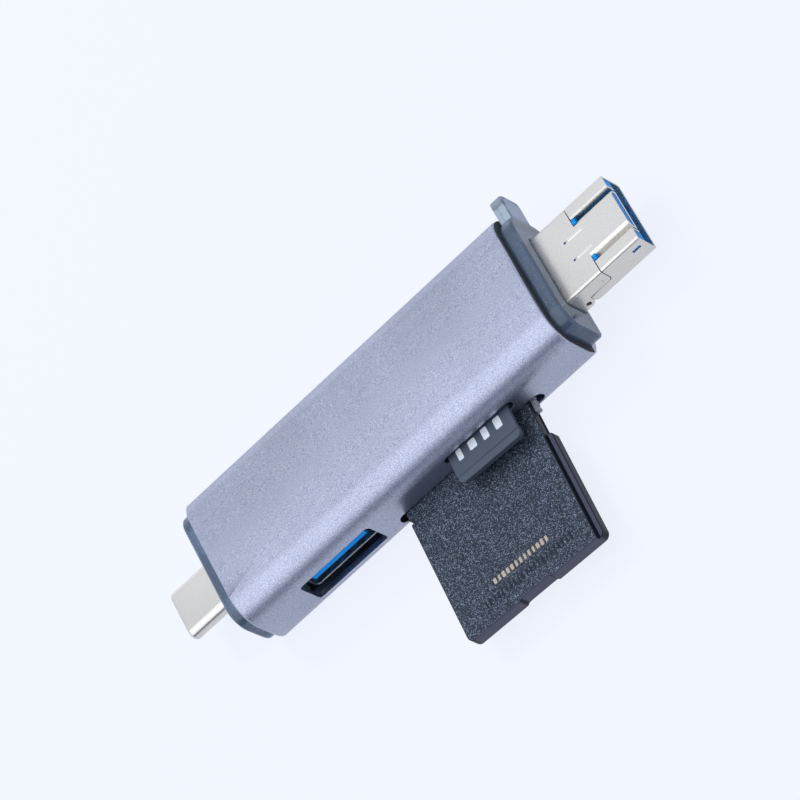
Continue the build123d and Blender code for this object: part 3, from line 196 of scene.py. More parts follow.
@dataclass(frozen=True)
class Finish:
    """A material with a fine relief, a broad unevenness of tone, its gloss and, on some, painted
    glints.

    Attributes:
        name: The material's name, with how its surface was made.
        colour: The main colour, as sRGB hex.
        grain_colour: The colour at the far end of the grain's variation, as sRGB hex.
        roughness: The lowest and highest roughness over the surface, which follow the grain.
        grain_mm: The size of one grain.
        relief_mm: How high the grain stands.
        metallic: One for a metal, otherwise zero.
        ior: The refractive index of a material that isn't a metal.
        cloud_mm: The size of the broad unevenness.
        grain_share: How much of the grain's colour shows, from zero to one.
        stretch: The grain's scale along X, Y and Z, for a surface drawn or rolled one way.
        see_through: How much light goes through, from zero to one.
        painted_glint_share: The share of the grains painted pale as glints, from zero to one.
        painted_glint_colour: The pale colour painted on those grains as glints, as sRGB hex.
        shine: How strong the surface reflection is, where one half is that of the refractive index.
        grain_spread: How far from its mean the noise runs where the grain's colours are reached.
    """

    name: str
    colour: str
    grain_colour: str
    roughness: tuple[float, float]
    grain_mm: float
    relief_mm: float
    metallic: float = 0.0
    ior: float = 1.5
    cloud_mm: float = 9.0
    grain_share: float = 0.5
    stretch: tuple[float, float, float] = (1.0, 1.0, 1.0)
    see_through: float = 0.0
    painted_glint_share: float = 0.0
    painted_glint_colour: str = "#8d97a4"
    shine: float = 0.5
    grain_spread: float = 0.2

    def material(self) -> bpy.types.Material:
        """Makes the material the first time that it is asked for.

        Returns:
            The material, shared by every piece with this finish.
        """
        made = bpy.data.materials.get(self.name)
        if made is not None:
            return made
        made = bpy.data.materials.new(self.name)
        tree = cleared_tree(made)
        place = add_node(tree, "ShaderNodeTexCoord").outputs["Object"]
        mapping = add_node(tree, "ShaderNodeMapping", {"Vector": place, "Scale": self.stretch})
        laid = mapping.outputs["Vector"]
        grain = self._noise(tree, laid, self.grain_mm, detail=2.0)
        cloud = self._noise(tree, place, self.cloud_mm, detail=1.0)
        relief = add_node(tree, "ShaderNodeBump", {
            "Height": grain, "Strength": 1.0, "Distance": self.relief_mm * MM})
        shader = add_node(tree, "ShaderNodeBsdfPrincipled", {
            "Base Color": self._tone(tree, laid, grain, cloud),
            "Metallic": self.metallic,
            "Roughness": ramp(tree, grain, self.roughness, NOISE_RANGE),
            "Normal": relief.outputs["Normal"],
            "Transmission Weight": self.see_through,
        })
        if self.metallic == 0.0:
            shader.inputs["IOR"].default_value = self.ior
            shader.inputs["Specular IOR Level"].default_value = self.shine
        add_node(tree, "ShaderNodeOutputMaterial", {"Surface": shader.outputs["BSDF"]})
        return made

    def _noise(self, tree: bpy.types.NodeTree, place: Any, size_mm: float, detail: float) -> Any:
        """Gives the factor of a noise whose cells are a given size."""
        return add_node(tree, "ShaderNodeTexNoise", {
            "Vector": place, "Scale": 1.0 / (size_mm * MM), "Detail": detail}).outputs["Fac"]

    def _tone(self, tree: bpy.types.NodeTree, laid: Any, grain: Any, cloud: Any) -> Any:
        """Gives the base colour: grain over a broad unevenness, and glints painted on some grains."""
        reached = (NOISE_MEAN - self.grain_spread, NOISE_MEAN + self.grain_spread)
        spread = ramp(tree, grain, (0.0, self.grain_share), reached)
        speckled = mix_colours(tree, spread, linear(self.colour), linear(self.grain_colour))
        shade = ramp(tree, cloud, CLOUD_SHADE, NOISE_RANGE)
        even = add_node(tree, "ShaderNodeVectorMath", {
            0: speckled, "Scale": shade}, operation="SCALE").outputs["Vector"]
        if self.painted_glint_share == 0.0:
            return even
        # Pale specks painted on some grains, as glints
        cells = add_node(tree, "ShaderNodeTexVoronoi", {
            "Vector": laid, "Scale": 1.0 / (self.grain_mm * MM)}).outputs["Color"]
        picked = add_node(tree, "ShaderNodeSeparateColor", {"Color": cells}).outputs["Red"]
        bright = ramp(tree, picked, (0.0, 1.0), (1.0 - self.painted_glint_share, 1.0))
        return mix_colours(tree, bright, even, linear(self.painted_glint_colour))


# Bead blasting breaks the reflection into a soft sheen with a fine speckle.
# The grey anodising over it is bluish.
# The real pits are about 0.06 mm and are drawn at 0.115 mm, so that they show.
ANODISED_ALUMINIUM = Finish(
    "anodised_aluminium_bead_blasted", colour="#969db8", grain_colour="#ccd1df",
    roughness=(0.34, 0.44), grain_mm=0.115, relief_mm=0.007, metallic=1.0, cloud_mm=14.0,
    grain_share=1.0, grain_spread=0.1)

# Moulded polycarbonate with a smoke tint: cool grey and glossy, and the light behind shows through.
SMOKY_POLYCARBONATE = Finish(
    "smoky_polycarbonate_moulded", colour="#7e9abb", grain_colour="#859fbe", roughness=(0.14, 0.22),
    grain_mm=0.5, relief_mm=0.002, ior=1.585, see_through=0.72)

# The same polycarbonate on the thin lug, painted paler for the light that comes through it from behind.
BACKLIT_POLYCARBONATE_PAINTED = Finish(
    "smoky_polycarbonate_painted_backlight", colour="#c6d5e4", grain_colour="#cbd9e7", roughness=(0.14, 0.22),
    grain_mm=0.5, relief_mm=0.002, ior=1.585, see_through=0.72)

# Nickel over stamped steel: a warm pale satin with faint lines along the rolled sheet.
# The rolling lines are near 0.02 mm and are drawn at 0.12 mm, so that they show.
NICKEL_PLATE = Finish(
    "nickel_plated_steel_stamped", colour="#e9e7e1", grain_colour="#dad7d0", roughness=(0.24, 0.34),
    grain_mm=0.12, relief_mm=0.0012, metallic=1.0, stretch=(0.25, 1.0, 1.0), grain_share=0.4)

# The same plate where a punch pressed it up: burnished nearly to a mirror, and painted paler as a
# highlight.
BURNISHED_NICKEL_AND_HIGHLIGHT = Finish(
    "nickel_plate_burnished_painted_highlight", colour="#fbfaf6", grain_colour="#f4f2ec", roughness=(0.1, 0.16),
    grain_mm=0.2, relief_mm=0.0005, metallic=1.0)

# Filled polyester moulded in a polished tool: a clear bright blue with a soft gloss.
BLUE_POLYESTER = Finish(
    "blue_polyester_moulded", colour="#0096ee", grain_colour="#0a9cf0", roughness=(0.35, 0.45),
    grain_mm=0.3, relief_mm=0.003, ior=1.57, shine=0.12)

# Steel pins painted dark, with a brownish tinge, for the shade in the holes where they sit sunk.
SHADED_PIN_STEEL = Finish(
    "steel_pins_painted_shade", colour="#4b4643", grain_colour="#57514d", roughness=(0.3, 0.4),
    grain_mm=0.1, relief_mm=0.001, metallic=1.0)

# Liquid crystal polymer, moulded: near black and slightly dull.
BLACK_POLYMER = Finish(
    "black_polymer_moulded", colour="#191b1f", grain_colour="#212429", roughness=(0.42, 0.55),
    grain_mm=0.25, relief_mm=0.004, ior=1.65)

# Gold flashed over nickel on stamped strip: a warm yellow mirror, softened by the strip's rolling.
GOLD_FLASH = Finish(
    "gold_flash_on_stamped_strip", colour="#e3b768", grain_colour="#d7a854", roughness=(0.2, 0.3),
    grain_mm=0.12, relief_mm=0.001, metallic=1.0, stretch=(1.0, 0.3, 1.0), grain_share=0.4)

# ABS moulded in a spark-eroded tool: charcoal with fine grains, and glints painted pale on some of
# them.
# The real grains are near 0.06 mm and are drawn at 0.1 mm, so that they show.
GRAINED_CARD = Finish(
    "charcoal_abs_spark_grained", colour="#060c15", grain_colour="#2b3847", roughness=(0.45, 0.6),
    grain_mm=0.1, relief_mm=0.012, ior=1.52, grain_share=1.0, painted_glint_share=0.27,
    painted_glint_colour="#8b9ab0", grain_spread=0.1, shine=0.35)

# The same ABS where the tool was polished: smooth, with a soft gloss.
# It is also painted lighter, for the light that the card's end and underside catch.
POLISHED_CARD_PAINTED_LIGHT = Finish(
    "charcoal_abs_polished_painted_light", colour="#30354c", grain_colour="#363b52", roughness=(0.24, 0.32),
    grain_mm=0.4, relief_mm=0.003, ior=1.52)

# The same ABS as a dark satin, used for the marks in low relief.
# On the rails it is painted shade, darker for the shade on the card's sides.
SATIN_CARD_AND_SIDE_SHADE = Finish(
    "charcoal_abs_satin_painted_side_shade", colour="#1d2530", grain_colour="#252e3a", roughness=(0.4, 0.5),
    grain_mm=0.3, relief_mm=0.004, ior=1.52, shine=0.2)

# Epoxy moulded round the chips of the small card: even dark grey with a fine matt tooth.
MICRO_CARD_EPOXY = Finish(
    "dark_grey_epoxy_moulded", colour="#3d4857", grain_colour="#465160", roughness=(0.42, 0.5),
    grain_mm=0.25, relief_mm=0.006, ior=1.55)

# Unfilled ABS, thin enough to let a little light in: pale grey, with a soft gloss.
TAB_ABS = Finish(
    "pale_abs_moulded", colour="#a3acb8", grain_colour="#adb5c0", roughness=(0.35, 0.45),
    grain_mm=0.3, relief_mm=0.004, ior=1.52, see_through=0.15)

# Glass and epoxy board under green lacquer: the glass under it shows as a faint mottle.
BOARD_LACQUER = Finish(
    "green_lacquered_glass_epoxy", colour="#1c5a38", grain_colour="#2a6e49", roughness=(0.3, 0.4),
    grain_mm=0.4, relief_mm=0.004, ior=1.55)

# Transfer-moulded chip resin: black with a fine sandy tooth.
CHIP_RESIN = Finish(
    "black_chip_resin_moulded", colour="#1b1c1f", grain_colour="#26282c", roughness=(0.5, 0.6),
    grain_mm=0.15, relief_mm=0.006, ior=1.55)

# Fired ceramic: a dull tan with a faint mottle.
CAPACITOR_CERAMIC = Finish(
    "tan_ceramic_fired", colour="#b3946f", grain_colour="#c1a37e", roughness=(0.45, 0.55),
    grain_mm=0.2, relief_mm=0.003, ior=1.6)

# Die-cut rubber sheet, dark slate and dull: a dark ring painted in as the shade in the gap at the cap's
# edge.
GAP_SHADE_RUBBER = Finish(
    "dark_rubber_painted_gap_shade", colour="#22262e", grain_colour="#2b3038", roughness=(0.7, 0.8),
    grain_mm=0.2, relief_mm=0.006, ior=1.52)

# Pad-printed white ink: an even pale film with a slight tooth.
WHITE_INK = Finish(
    "white_ink_pad_printed", colour="#e3e9f0", grain_colour="#d5dce5", roughness=(0.45, 0.55),
    grain_mm=0.15, relief_mm=0.001, ior=1.5, grain_share=0.6)

# Laser marking in dark plastic: the foamed surface is a warm pale grey, broken by the grain under it.
LASER_MARK = Finish(
    "pale_laser_mark", colour="#cbbcaa", grain_colour="#a0968a", roughness=(0.6, 0.7),
    grain_mm=0.15, relief_mm=0.004, ior=1.52, grain_share=0.9)


# Mesh work


def new_object(name: str, data: bpy.types.ID) -> bpy.types.Object:
    """Puts a mesh, a lamp or a camera into the scene as an object at the origin.

    Args:
        name: The object's name.
        data: What the object holds.

    Returns:
        The linked object.
    """
    made = bpy.data.objects.new(name, data)
    bpy.context.scene.collection.objects.link(made)
    return made


def bake_modifiers(piece: bpy.types.Object) -> None:
    """Replaces a piece's mesh by what its modifiers make of it, and removes them.

    Args:
        piece: The object with its modifiers.
    """
    bpy.context.view_layer.update()
    graph = bpy.context.evaluated_depsgraph_get()
    mesh = bpy.data.meshes.new_from_object(piece.evaluated_get(graph), depsgraph=graph)
    piece.modifiers.clear()
    piece.data = mesh
    mesh.name = piece.name


def coat(mesh: bpy.types.Mesh, finish: Finish) -> None:
    """Gives a whole mesh one finish, in place of what it had."""
    mesh.materials.clear()
    mesh.materials.append(finish.material())


def recoat(
        piece: bpy.types.Object, finish: Finish,
        chosen: Callable[[bpy.types.MeshPolygon], bool]) -> None:
    """Gives some of a piece's faces a further finish.

    Args:
        piece: The dressed piece.
        finish: What those faces look like.
        chosen: Tells whether a face is one of them.
    """
    piece.data.materials.append(finish.material())
    added = len(piece.data.materials) - 1
    for face in piece.data.polygons:
        if chosen(face):
            face.material_index = added


@dataclass
class EasedPiece:
    """A CAD node's copy whose sharp edges are eased as on the real piece.

    Attributes:
        node: The CAD node that the copy stands for.
        finish: What it is made of.
        slot: The record's slot for it; not used.
        ease_mm: The width of the eased edge.
        body: The body that it moves with.
        steps: The number of faces across an eased edge.
        sharp_deg: Edges that turn by more than this are eased.
    """

    node: str
    finish: Finish
    slot: Slot
    ease_mm: float
    body: Body = Body.READER
    steps: int = 2
    sharp_deg: float = 28.0

    def build(self, frame: dict[str, Any]) -> bpy.types.Object:
        """Makes the copy, eases its edges and puts it in the node's place.

        Args:
            frame: The loaded part.

        Returns:
            The dressed piece.
        """
        mesh = self._joined_mesh(frame["nodes"][self.node].data)
        piece = new_object(f"{self.node}_dressed", mesh)
        ease = piece.modifiers.new("eased_edges", "BEVEL")
        ease.width = self.ease_mm * MM
        ease.segments = self.steps
        ease.limit_method = "ANGLE"
        ease.angle_limit = math.radians(self.sharp_deg)
        ease.use_clamp_overlap = False
        ease.miter_outer = "MITER_ARC"
        ease.face_strength_mode = "FSTR_ALL"
        even = piece.modifiers.new("even_shading", "WEIGHTED_NORMAL")
        even.keep_sharp = True
        even.use_face_influence = True
        bake_modifiers(piece)
        coat(piece.data, self.finish)
        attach(piece, self.body.value)
        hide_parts(self.node)
        LOG.info("%s: %d faces", piece.name, len(piece.data.polygons))
        return piece

    def _joined_mesh(self, source: bpy.types.Mesh) -> bpy.types.Mesh:
        """Copies loose triangles into one joined mesh of flat and smooth faces."""
        work = bmesh.new()
        work.from_mesh(source)
        bmesh.ops.remove_doubles(work, verts=work.verts, dist=TOUCH_MM * MM)
        bmesh.ops.dissolve_limit(
            work, angle_limit=math.radians(FLAT_DEG), use_dissolve_boundaries=False,
            verts=work.verts, edges=work.edges)
        for face in work.faces:
            face.smooth = True
        mesh = bpy.data.meshes.new(f"{self.node}_dressed")
        work.to_mesh(mesh)
        work.free()
        mesh.set_sharp_from_angle(angle=math.radians(self.sharp_deg))
        return mesh


def paint(frame: dict[str, Any], finish: Finish, *nodes: str) -> None:
    """Gives CAD nodes that keep their own mesh a finish.

    Args:
        frame: The loaded part.
        finish: What they are made of.
        *nodes: The nodes' names.
    """
    for node in nodes:
        coat(frame["nodes"][node].data, finish)
        LOG.info("%s: %s", node, finish.name)


# Sub-assemblies


@dataclass
class AluminiumBody:
    """The extruded tube, with broken edges round its cuts and a slightly crowned top.

    Attributes:
        node: The CAD node that it stands for.
        rim_mm: How far the broken edge round each cut goes outward, into the cut and inward.
        crown_mm: How much higher the top's middle is than its edges.
        top_mm: Where the top lies.
        flat_mm: Half the width of the top between its rounded edges.
        strips: The number of strips across the crown.
        sharp_deg: Edges that turn by more than this stay sharp.
        facing: The least share of a normal along Y where a face looks that way.
        sideways: The largest share of a normal along an axis where a face lies along it.
        level: The least share of a normal along Z where a face is level.
        cut_touch_mm: How near a strip's edge a point counts as lying on it.
        spot_digits: The decimals of a millimetre that tell two points apart.
    """

    node: str = "body_shell"
    rim_mm: tuple[float, float, float] = (0.04, 0.08, 0.12)
    crown_mm: float = 0.3
    top_mm: float = 12.0
    flat_mm: float = 7.1
    strips: int = 8
    sharp_deg: float = 25.0
    facing: float = 0.2
    sideways: float = 0.1
    level: float = 0.9999
    cut_touch_mm: float = 0.00001
    spot_digits: int = 4

    def dress(self, frame: dict[str, Any]) -> None:
        """Makes the tube's copy and gives it its blasted finish."""
        work = bmesh.new()
        work.from_mesh(frame["nodes"][self.node].data)
        bmesh.ops.remove_doubles(work, verts=work.verts, dist=TOUCH_MM * MM)
        self._break_rims(work)
        self._raise_crown(work)
        for face in work.faces:
            face.smooth = True
        mesh = bpy.data.meshes.new(f"{self.node}_dressed")
        work.to_mesh(mesh)
        work.free()
        mesh.set_sharp_from_angle(angle=math.radians(self.sharp_deg))
        piece = new_object(mesh.name, mesh)
        even = piece.modifiers.new("even_shading", "WEIGHTED_NORMAL")
        even.keep_sharp = True
        bake_modifiers(piece)
        coat(piece.data, ANODISED_ALUMINIUM)
        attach(piece, Body.READER.value)
        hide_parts(self.node)
        LOG.info("%s: %d faces", piece.name, len(piece.data.polygons))

    def _break_rims(self, work: bmesh.types.BMesh) -> None:
        """Slopes the edge between the tube's -Y skin and each cut's wall."""
        skin = {face for face in work.faces if self._is_skin(face)}
        rims = []
        ways: dict[tuple[float, ...], Vector] = {}
        for edge in work.edges:
            walls = [face for face in edge.link_faces if abs(face.normal.y) < self.sideways]
            if len(walls) == 1 and any(face in skin for face in edge.link_faces):
                rims.append(edge)
                for vert in edge.verts:
                    spot = self._spot(vert)
                    ways[spot] = ways.get(spot, Vector()) - walls[0].normal
        pairs = [tuple(self._spot(vert) for vert in edge.verts) for edge in rims]
        bmesh.ops.split_edges(work, edges=rims)
        outer: dict[tuple[float, ...], bmesh.types.BMVert] = {}
        inner: dict[tuple[float, ...], bmesh.types.BMVert] = {}
        for vert in work.verts:
            spot = self._spot(vert)
            if spot in ways:
                side = outer if any(face in skin for face in vert.link_faces) else inner
                side[spot] = vert
        out, into, deep = (size * MM for size in self.rim_mm)
        for spot, way in ways.items():
            outer[spot].co += way.normalized() * out
            inner[spot].co += Vector((0.0, deep, 0.0)) - way.normalized() * into
        for first, second in pairs:
            strip = work.faces.new((outer[first], outer[second], inner[second], inner[first]))
            strip.normal_update()
            if strip.normal.y > 0.0:
                strip.normal_flip()

    def _raise_crown(self, work: bmesh.types.BMesh) -> None:
        """Cuts the top into strips along the tube and lifts them into a shallow arch."""
        for index in range(1, self.strips):
            across = (2.0 * index / self.strips - 1.0) * self.flat_mm * MM
            top = [face for face in work.faces if self._is_top(face)]
            edges = {edge for face in top for edge in face.edges}
            verts = {vert for face in top for vert in face.verts}
            bmesh.ops.bisect_plane(
                work, geom=[*top, *edges, *verts], dist=self.cut_touch_mm * MM,
                plane_co=(0.0, across, 0.0), plane_no=(0.0, 1.0, 0.0))
        for vert in work.verts:
            if abs(vert.co.z - self.top_mm * MM) < TOUCH_MM * MM:
                share = vert.co.y / (self.flat_mm * MM)
                vert.co.z += max(0.0, 1.0 - share * share) * self.crown_mm * MM
        work.normal_update()

    def _is_skin(self, face: bmesh.types.BMFace) -> bool:
        """Tells whether a face is on the outside of the tube's -Y half."""
        outward = face.normal.y < -self.facing and abs(face.normal.x) < self.sideways
        return outward and face.calc_center_median().y < 0.0

    def _is_top(self, face: bmesh.types.BMFace) -> bool:
        """Tells whether a face lies in the tube's flat top."""
        at_top = abs(face.calc_center_median().z - self.top_mm * MM) < TOUCH_MM * MM
        return at_top and face.normal.z > self.level

    def _spot(self, vert: bmesh.types.BMVert) -> tuple[float, ...]:
        """Gives a vertex's place, rounded so that copies in one place match."""
        return tuple(round(value / MM, self.spot_digits) for value in vert.co)


@dataclass
class EndCaps:
    """The two moulded caps, and the dark gasket behind one, which stands for the shade in the gap at
    its edge.

    Attributes:
        ease_mm: The width of their eased edges.
        lug_mm: Where the plug cap's thin lug starts, beside the tube.
    """

    ease_mm: float = 0.12
    lug_mm: float = 11.5

    def dress(self, frame: dict[str, Any]) -> None:
        """Rounds the caps' edges and gives them their smoky finish, with the thin lug painted paler."""
        for node in ("plug_end_cap", "c_end_cap"):
            cap = EasedPiece(node, SMOKY_POLYCARBONATE, Slot.SMOKY, self.ease_mm, steps=3)
            # The lug is painted paler, for the light that comes through it from behind
            recoat(cap.build(frame), BACKLIT_POLYCARBONATE_PAINTED, self._is_lug)
        # The gasket's dark rubber is painted shade, for the gap between the cap and the tube
        paint(frame, GAP_SHADE_RUBBER, "cap_gasket")

    def _is_lug(self, face: bpy.types.MeshPolygon) -> bool:
        """Tells whether a face is on the thin lug beside the tube."""
        return face.center.y > self.lug_mm * MM


@dataclass
class TwoInOnePlug:
    """The fixed cover with its narrow nose, and the wide mouth that swings down from it.

    Attributes:
        sheet_ease_mm: The width of the eased edges of the folded sheets.
        moulding_ease_mm: The width of the eased edges of the mouldings.
        rib_mm: How far below the cover's highest point its ribs start.
    """

    sheet_ease_mm: float = 0.05
    moulding_ease_mm: float = 0.06
    rib_mm: float = 0.085

    def dress(self, frame: dict[str, Any]) -> None:
        """Dresses the fixed half, then the half that swings."""
        cover = EasedPiece("plug_cover", NICKEL_PLATE, Slot.STEEL, self.sheet_ease_mm).build(frame)
        rib_foot = max(vert.co.z for vert in cover.data.vertices) - self.rib_mm * MM
        # The ribs are burnished smoother, and also painted paler as their highlight
        recoat(cover, BURNISHED_NICKEL_AND_HIGHLIGHT, lambda face: face.center.z > rib_foot)
        EasedPiece("plug_support", BLUE_POLYESTER, Slot.BLUE, self.moulding_ease_mm).build(frame)
        EasedPiece(
            "flip_mouth", NICKEL_PLATE, Slot.STEEL, self.sheet_ease_mm, Body.FLIP_PLUG).build(frame)
        EasedPiece(
            "flip_insulator", BLUE_POLYESTER, Slot.BLUE, self.moulding_ease_mm,
            Body.FLIP_PLUG).build(frame)
        # The pins are painted dark, as the shade in their sunk holes
        paint(frame, SHADED_PIN_STEEL, "pivot_pins")
        paint(frame, BLUE_POLYESTER, "nose_insulator")
        paint(frame, GOLD_FLASH, "nose_contacts", "flip_contacts")


@dataclass
class OvalPlug:
    """The oval plug at the other end.

    Attributes:
        ease_mm: The width of the shell's eased edges.
    """

    ease_mm: float = 0.06

    def dress(self, frame: dict[str, Any]) -> None:
        """Rounds the shell's lip and dresses what is inside it."""
        EasedPiece("usb_c_shell", NICKEL_PLATE, Slot.STEEL, self.ease_mm, steps=3).build(frame)
        paint(frame, BLACK_POLYMER, "usb_c_insulator")
        paint(frame, GOLD_FLASH, "usb_c_contacts")


@dataclass
class SidePort:
    """The wide port in the tube's long side.

    Attributes:
        ease_mm: The width of the eased edges of its shell and its tongue.
    """

    ease_mm: float = 0.05

    def dress(self, frame: dict[str, Any]) -> None:
        """Dresses the folded shell, the tongue and its contacts."""
        EasedPiece("port_shell", NICKEL_PLATE, Slot.STEEL, self.ease_mm).build(frame)
        EasedPiece("port_tongue", BLUE_POLYESTER, Slot.BLUE, self.ease_mm).build(frame)
        paint(frame, GOLD_FLASH, "port_contacts")


@dataclass
class PrintedRow:
    """A row of small plain marks on a flat face, made by Geometry Nodes.

    Attributes:
        name: The piece's name.
        finish: The ink or the marking.
        count: The number of marks.
        pitch_mm: The distance from one mark to the next.
        mark_mm: A mark's length along the row and its width across it.
        corner_mm: The rounding of a mark's corners.
        film_mm: How thick the film is.
        seed: The seed of the marks' uneven sizes.
        corner_steps: The number of steps round a mark's corner.
        least_scale: The smallest a mark gets along the row, across it and in height.
        touch_mm: Points of a mark nearer than this are one point.
    """

    name: str
    finish: Finish
    count: int
    pitch_mm: float
    mark_mm: tuple[float, float]
    corner_mm: float
    film_mm: float
    seed: int
    corner_steps: int = 3
    least_scale: tuple[float, float, float] = (0.55, 0.8, 1.0)
    touch_mm: float = 0.0001

    def build(self, place: Matrix) -> None:
        """Makes the row and lays it on its face.

        Args:
            place: Where the first mark's centre lies and which way the row runs, in metres.
        """
        piece = new_object(self.name, bpy.data.meshes.new(self.name))
        row = piece.modifiers.new("row_of_marks", "NODES")
        row.node_group = self._tree()
        sizes = {
            "Count": self.count, "Pitch": self.pitch_mm * MM, "Length": self.mark_mm[0] * MM,
            "Width": self.mark_mm[1] * MM, "Corner": self.corner_mm * MM, "Film": self.film_mm * MM,
            "Seed": self.seed, "Finish": self.finish.material(),
        }
        for socket in row.node_group.interface.items_tree:
            if socket.in_out == "INPUT" and socket.name in sizes:
                row[socket.identifier] = sizes[socket.name]
        bake_modifiers(piece)
        piece.data.transform(place)
        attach(piece, Body.READER.value)
        LOG.info("%s: %d marks", self.name, self.count)

    def _tree(self) -> bpy.types.NodeTree:
        """Builds the tree: a line of points with a rounded mark on each, uneven in size."""
        tree = bpy.data.node_groups.new("printed_row", "GeometryNodeTree")
        face = tree.interface
        face.new_socket("Geometry", in_out="INPUT", socket_type="NodeSocketGeometry")
        face.new_socket("Count", in_out="INPUT", socket_type="NodeSocketInt")
        for name in ("Pitch", "Length", "Width", "Corner", "Film"):
            face.new_socket(name, in_out="INPUT", socket_type="NodeSocketFloat")
        face.new_socket("Seed", in_out="INPUT", socket_type="NodeSocketInt")
        face.new_socket("Finish", in_out="INPUT", socket_type="NodeSocketMaterial")
        face.new_socket("Geometry", in_out="OUTPUT", socket_type="NodeSocketGeometry")
        given = add_node(tree, "NodeGroupInput").outputs
        step = add_node(tree, "ShaderNodeCombineXYZ", {"X": given["Pitch"]}).outputs["Vector"]
        line = add_node(tree, "GeometryNodeMeshLine", {
            "Count": given["Count"], "Offset": step}).outputs["Mesh"]
        outline = add_node(tree, "GeometryNodeCurvePrimitiveQuadrilateral", {
            "Width": given["Length"], "Height": given["Width"]}).outputs["Curve"]
        rounded = add_node(tree, "GeometryNodeFilletCurve", {
            "Curve": outline, "Count": self.corner_steps, "Radius": given["Corner"]},
            mode="POLY").outputs["Curve"]
        flat = add_node(
            tree, "GeometryNodeFillCurve", {"Curve": rounded}, mode="NGONS").outputs["Mesh"]
        raised = add_node(tree, "GeometryNodeExtrudeMesh", {
            "Mesh": flat, "Offset Scale": given["Film"]}).outputs["Mesh"]
        under = add_node(tree, "GeometryNodeFlipFaces", {"Mesh": flat}).outputs["Mesh"]
        both = add_node(tree, "GeometryNodeJoinGeometry")
        tree.links.new(under, both.inputs[0])
        tree.links.new(raised, both.inputs[0])
        mark = add_node(tree, "GeometryNodeMergeByDistance", {
            "Geometry": both.outputs[0], "Distance": self.touch_mm * MM}).outputs["Geometry"]
        uneven = add_node(tree, "FunctionNodeRandomValue", {
            0: self.least_scale, 1: (1.0, 1.0, 1.0), "Seed": given["Seed"]},
            data_type="FLOAT_VECTOR").outputs[0]
        row = add_node(tree, "GeometryNodeInstanceOnPoints", {
            "Points": line, "Instance": mark, "Scale": uneven}).outputs["Instances"]
        real = add_node(
            tree, "GeometryNodeRealizeInstances", {"Geometry": row}).outputs["Geometry"]
        inked = add_node(tree, "GeometryNodeSetMaterial", {
            "Geometry": real, "Material": given["Finish"]}).outputs["Geometry"]
        add_node(tree, "NodeGroupOutput", {"Geometry": inked})
        return tree


@dataclass
class CardPlace:
    """Where a card lies in its slot.

    Attributes:
        x_mm: Where the card's middle line crosses the tube's side face.
        y_mm: Where that side face is.
        top_mm: Where the card's top lies.
        turn_deg: How the card is turned about Z.
    """

    x_mm: float
    y_mm: float
    top_mm: float
    turn_deg: float

    def at(self, along_mm: float, out_mm: float) -> Matrix:
        """Gives a place on the card's top.

        Args:
            along_mm: Across the card's width.
            out_mm: Along the card, where more negative is further out of the slot.

        Returns:
            The place as a matrix in metres.
        """
        card = Matrix.Translation(Vector((self.x_mm, self.y_mm, self.top_mm)) * MM)
        card = card @ Matrix.Rotation(math.radians(self.turn_deg), 4, "Z")
        return card @ Matrix.Translation(Vector((along_mm, out_mm, 0.0)) * MM)


@dataclass
class MemoryCard:
    """The large card, its lock slider and the socket inside the tube.

    Attributes:
        place: Where the card lies.
        ease_mm: The width of the card's eased edges.
        tab_ease_mm: The width of the slider's eased edges.
        end_lean: The least share of a normal along Z where a face is still grained.
        grain_skin_mm: How far below the card's top the grain ends.
        rail_lean: The least share of a normal along X where a bare face is a rail's.
        row_mm: Where the row of marks starts, across the card and along it.
        relief_row_mm: Where the row in low relief starts, across the card and along it.
    """

    place: CardPlace = field(default_factory=lambda: CardPlace(
        x_mm=7.79, y_mm=-11.4, top_mm=4.82, turn_deg=-2.3))
    ease_mm: float = 0.16
    tab_ease_mm: float = 0.06
    end_lean: float = 0.97
    grain_skin_mm: float = 0.05
    rail_lean: float = 0.25
    row_mm: tuple[float, float] = (-4.7, -18.05)
    relief_row_mm: tuple[float, float] = (-7.3, -20.15)

    def dress(self, frame: dict[str, Any]) -> None:
        """Dresses the card, its slider, its two rows of marks and its socket."""
        card = EasedPiece("memory_card", GRAINED_CARD, Slot.CARD, self.ease_mm, steps=3).build(frame)
        # The faces off the grained top are painted lighter, for the light they catch
        recoat(card, POLISHED_CARD_PAINTED_LIGHT, self._is_bare)
        # The rails are painted darker, as the shade on the card's sides
        recoat(card, SATIN_CARD_AND_SIDE_SHADE, self._is_rail)
        EasedPiece("lock_tab", TAB_ABS, Slot.TAB, self.tab_ease_mm, Body.LOCK_SLIDER).build(frame)
        PrintedRow(
            "memory_card_marks", LASER_MARK, count=13, pitch_mm=0.77, mark_mm=(0.58, 1.0),
            corner_mm=0.1, film_mm=0.01, seed=3).build(self.place.at(*self.row_mm))
        PrintedRow(
            "memory_card_relief", SATIN_CARD_AND_SIDE_SHADE, count=22, pitch_mm=0.72, mark_mm=(0.36, 1.2),
            corner_mm=0.1, film_mm=0.03, seed=5).build(self.place.at(*self.relief_row_mm))
        paint(frame, GOLD_FLASH, "memory_card_contacts", "card_socket_springs")
        paint(frame, BLACK_POLYMER, "card_socket_frame")
        paint(frame, NICKEL_PLATE, "card_socket_cover")

    def _is_bare(self, face: bpy.types.MeshPolygon) -> bool:
        """Tells whether a face lies below the grained top or leans away from it."""
        below = face.center.z < (self.place.top_mm - self.grain_skin_mm) * MM
        return below or face.normal.z < self.end_lean

    def _is_rail(self, face: bpy.types.MeshPolygon) -> bool:
        """Tells whether a bare face turns to one of the card's long sides."""
        return self._is_bare(face) and abs(face.normal.x) > self.rail_lean


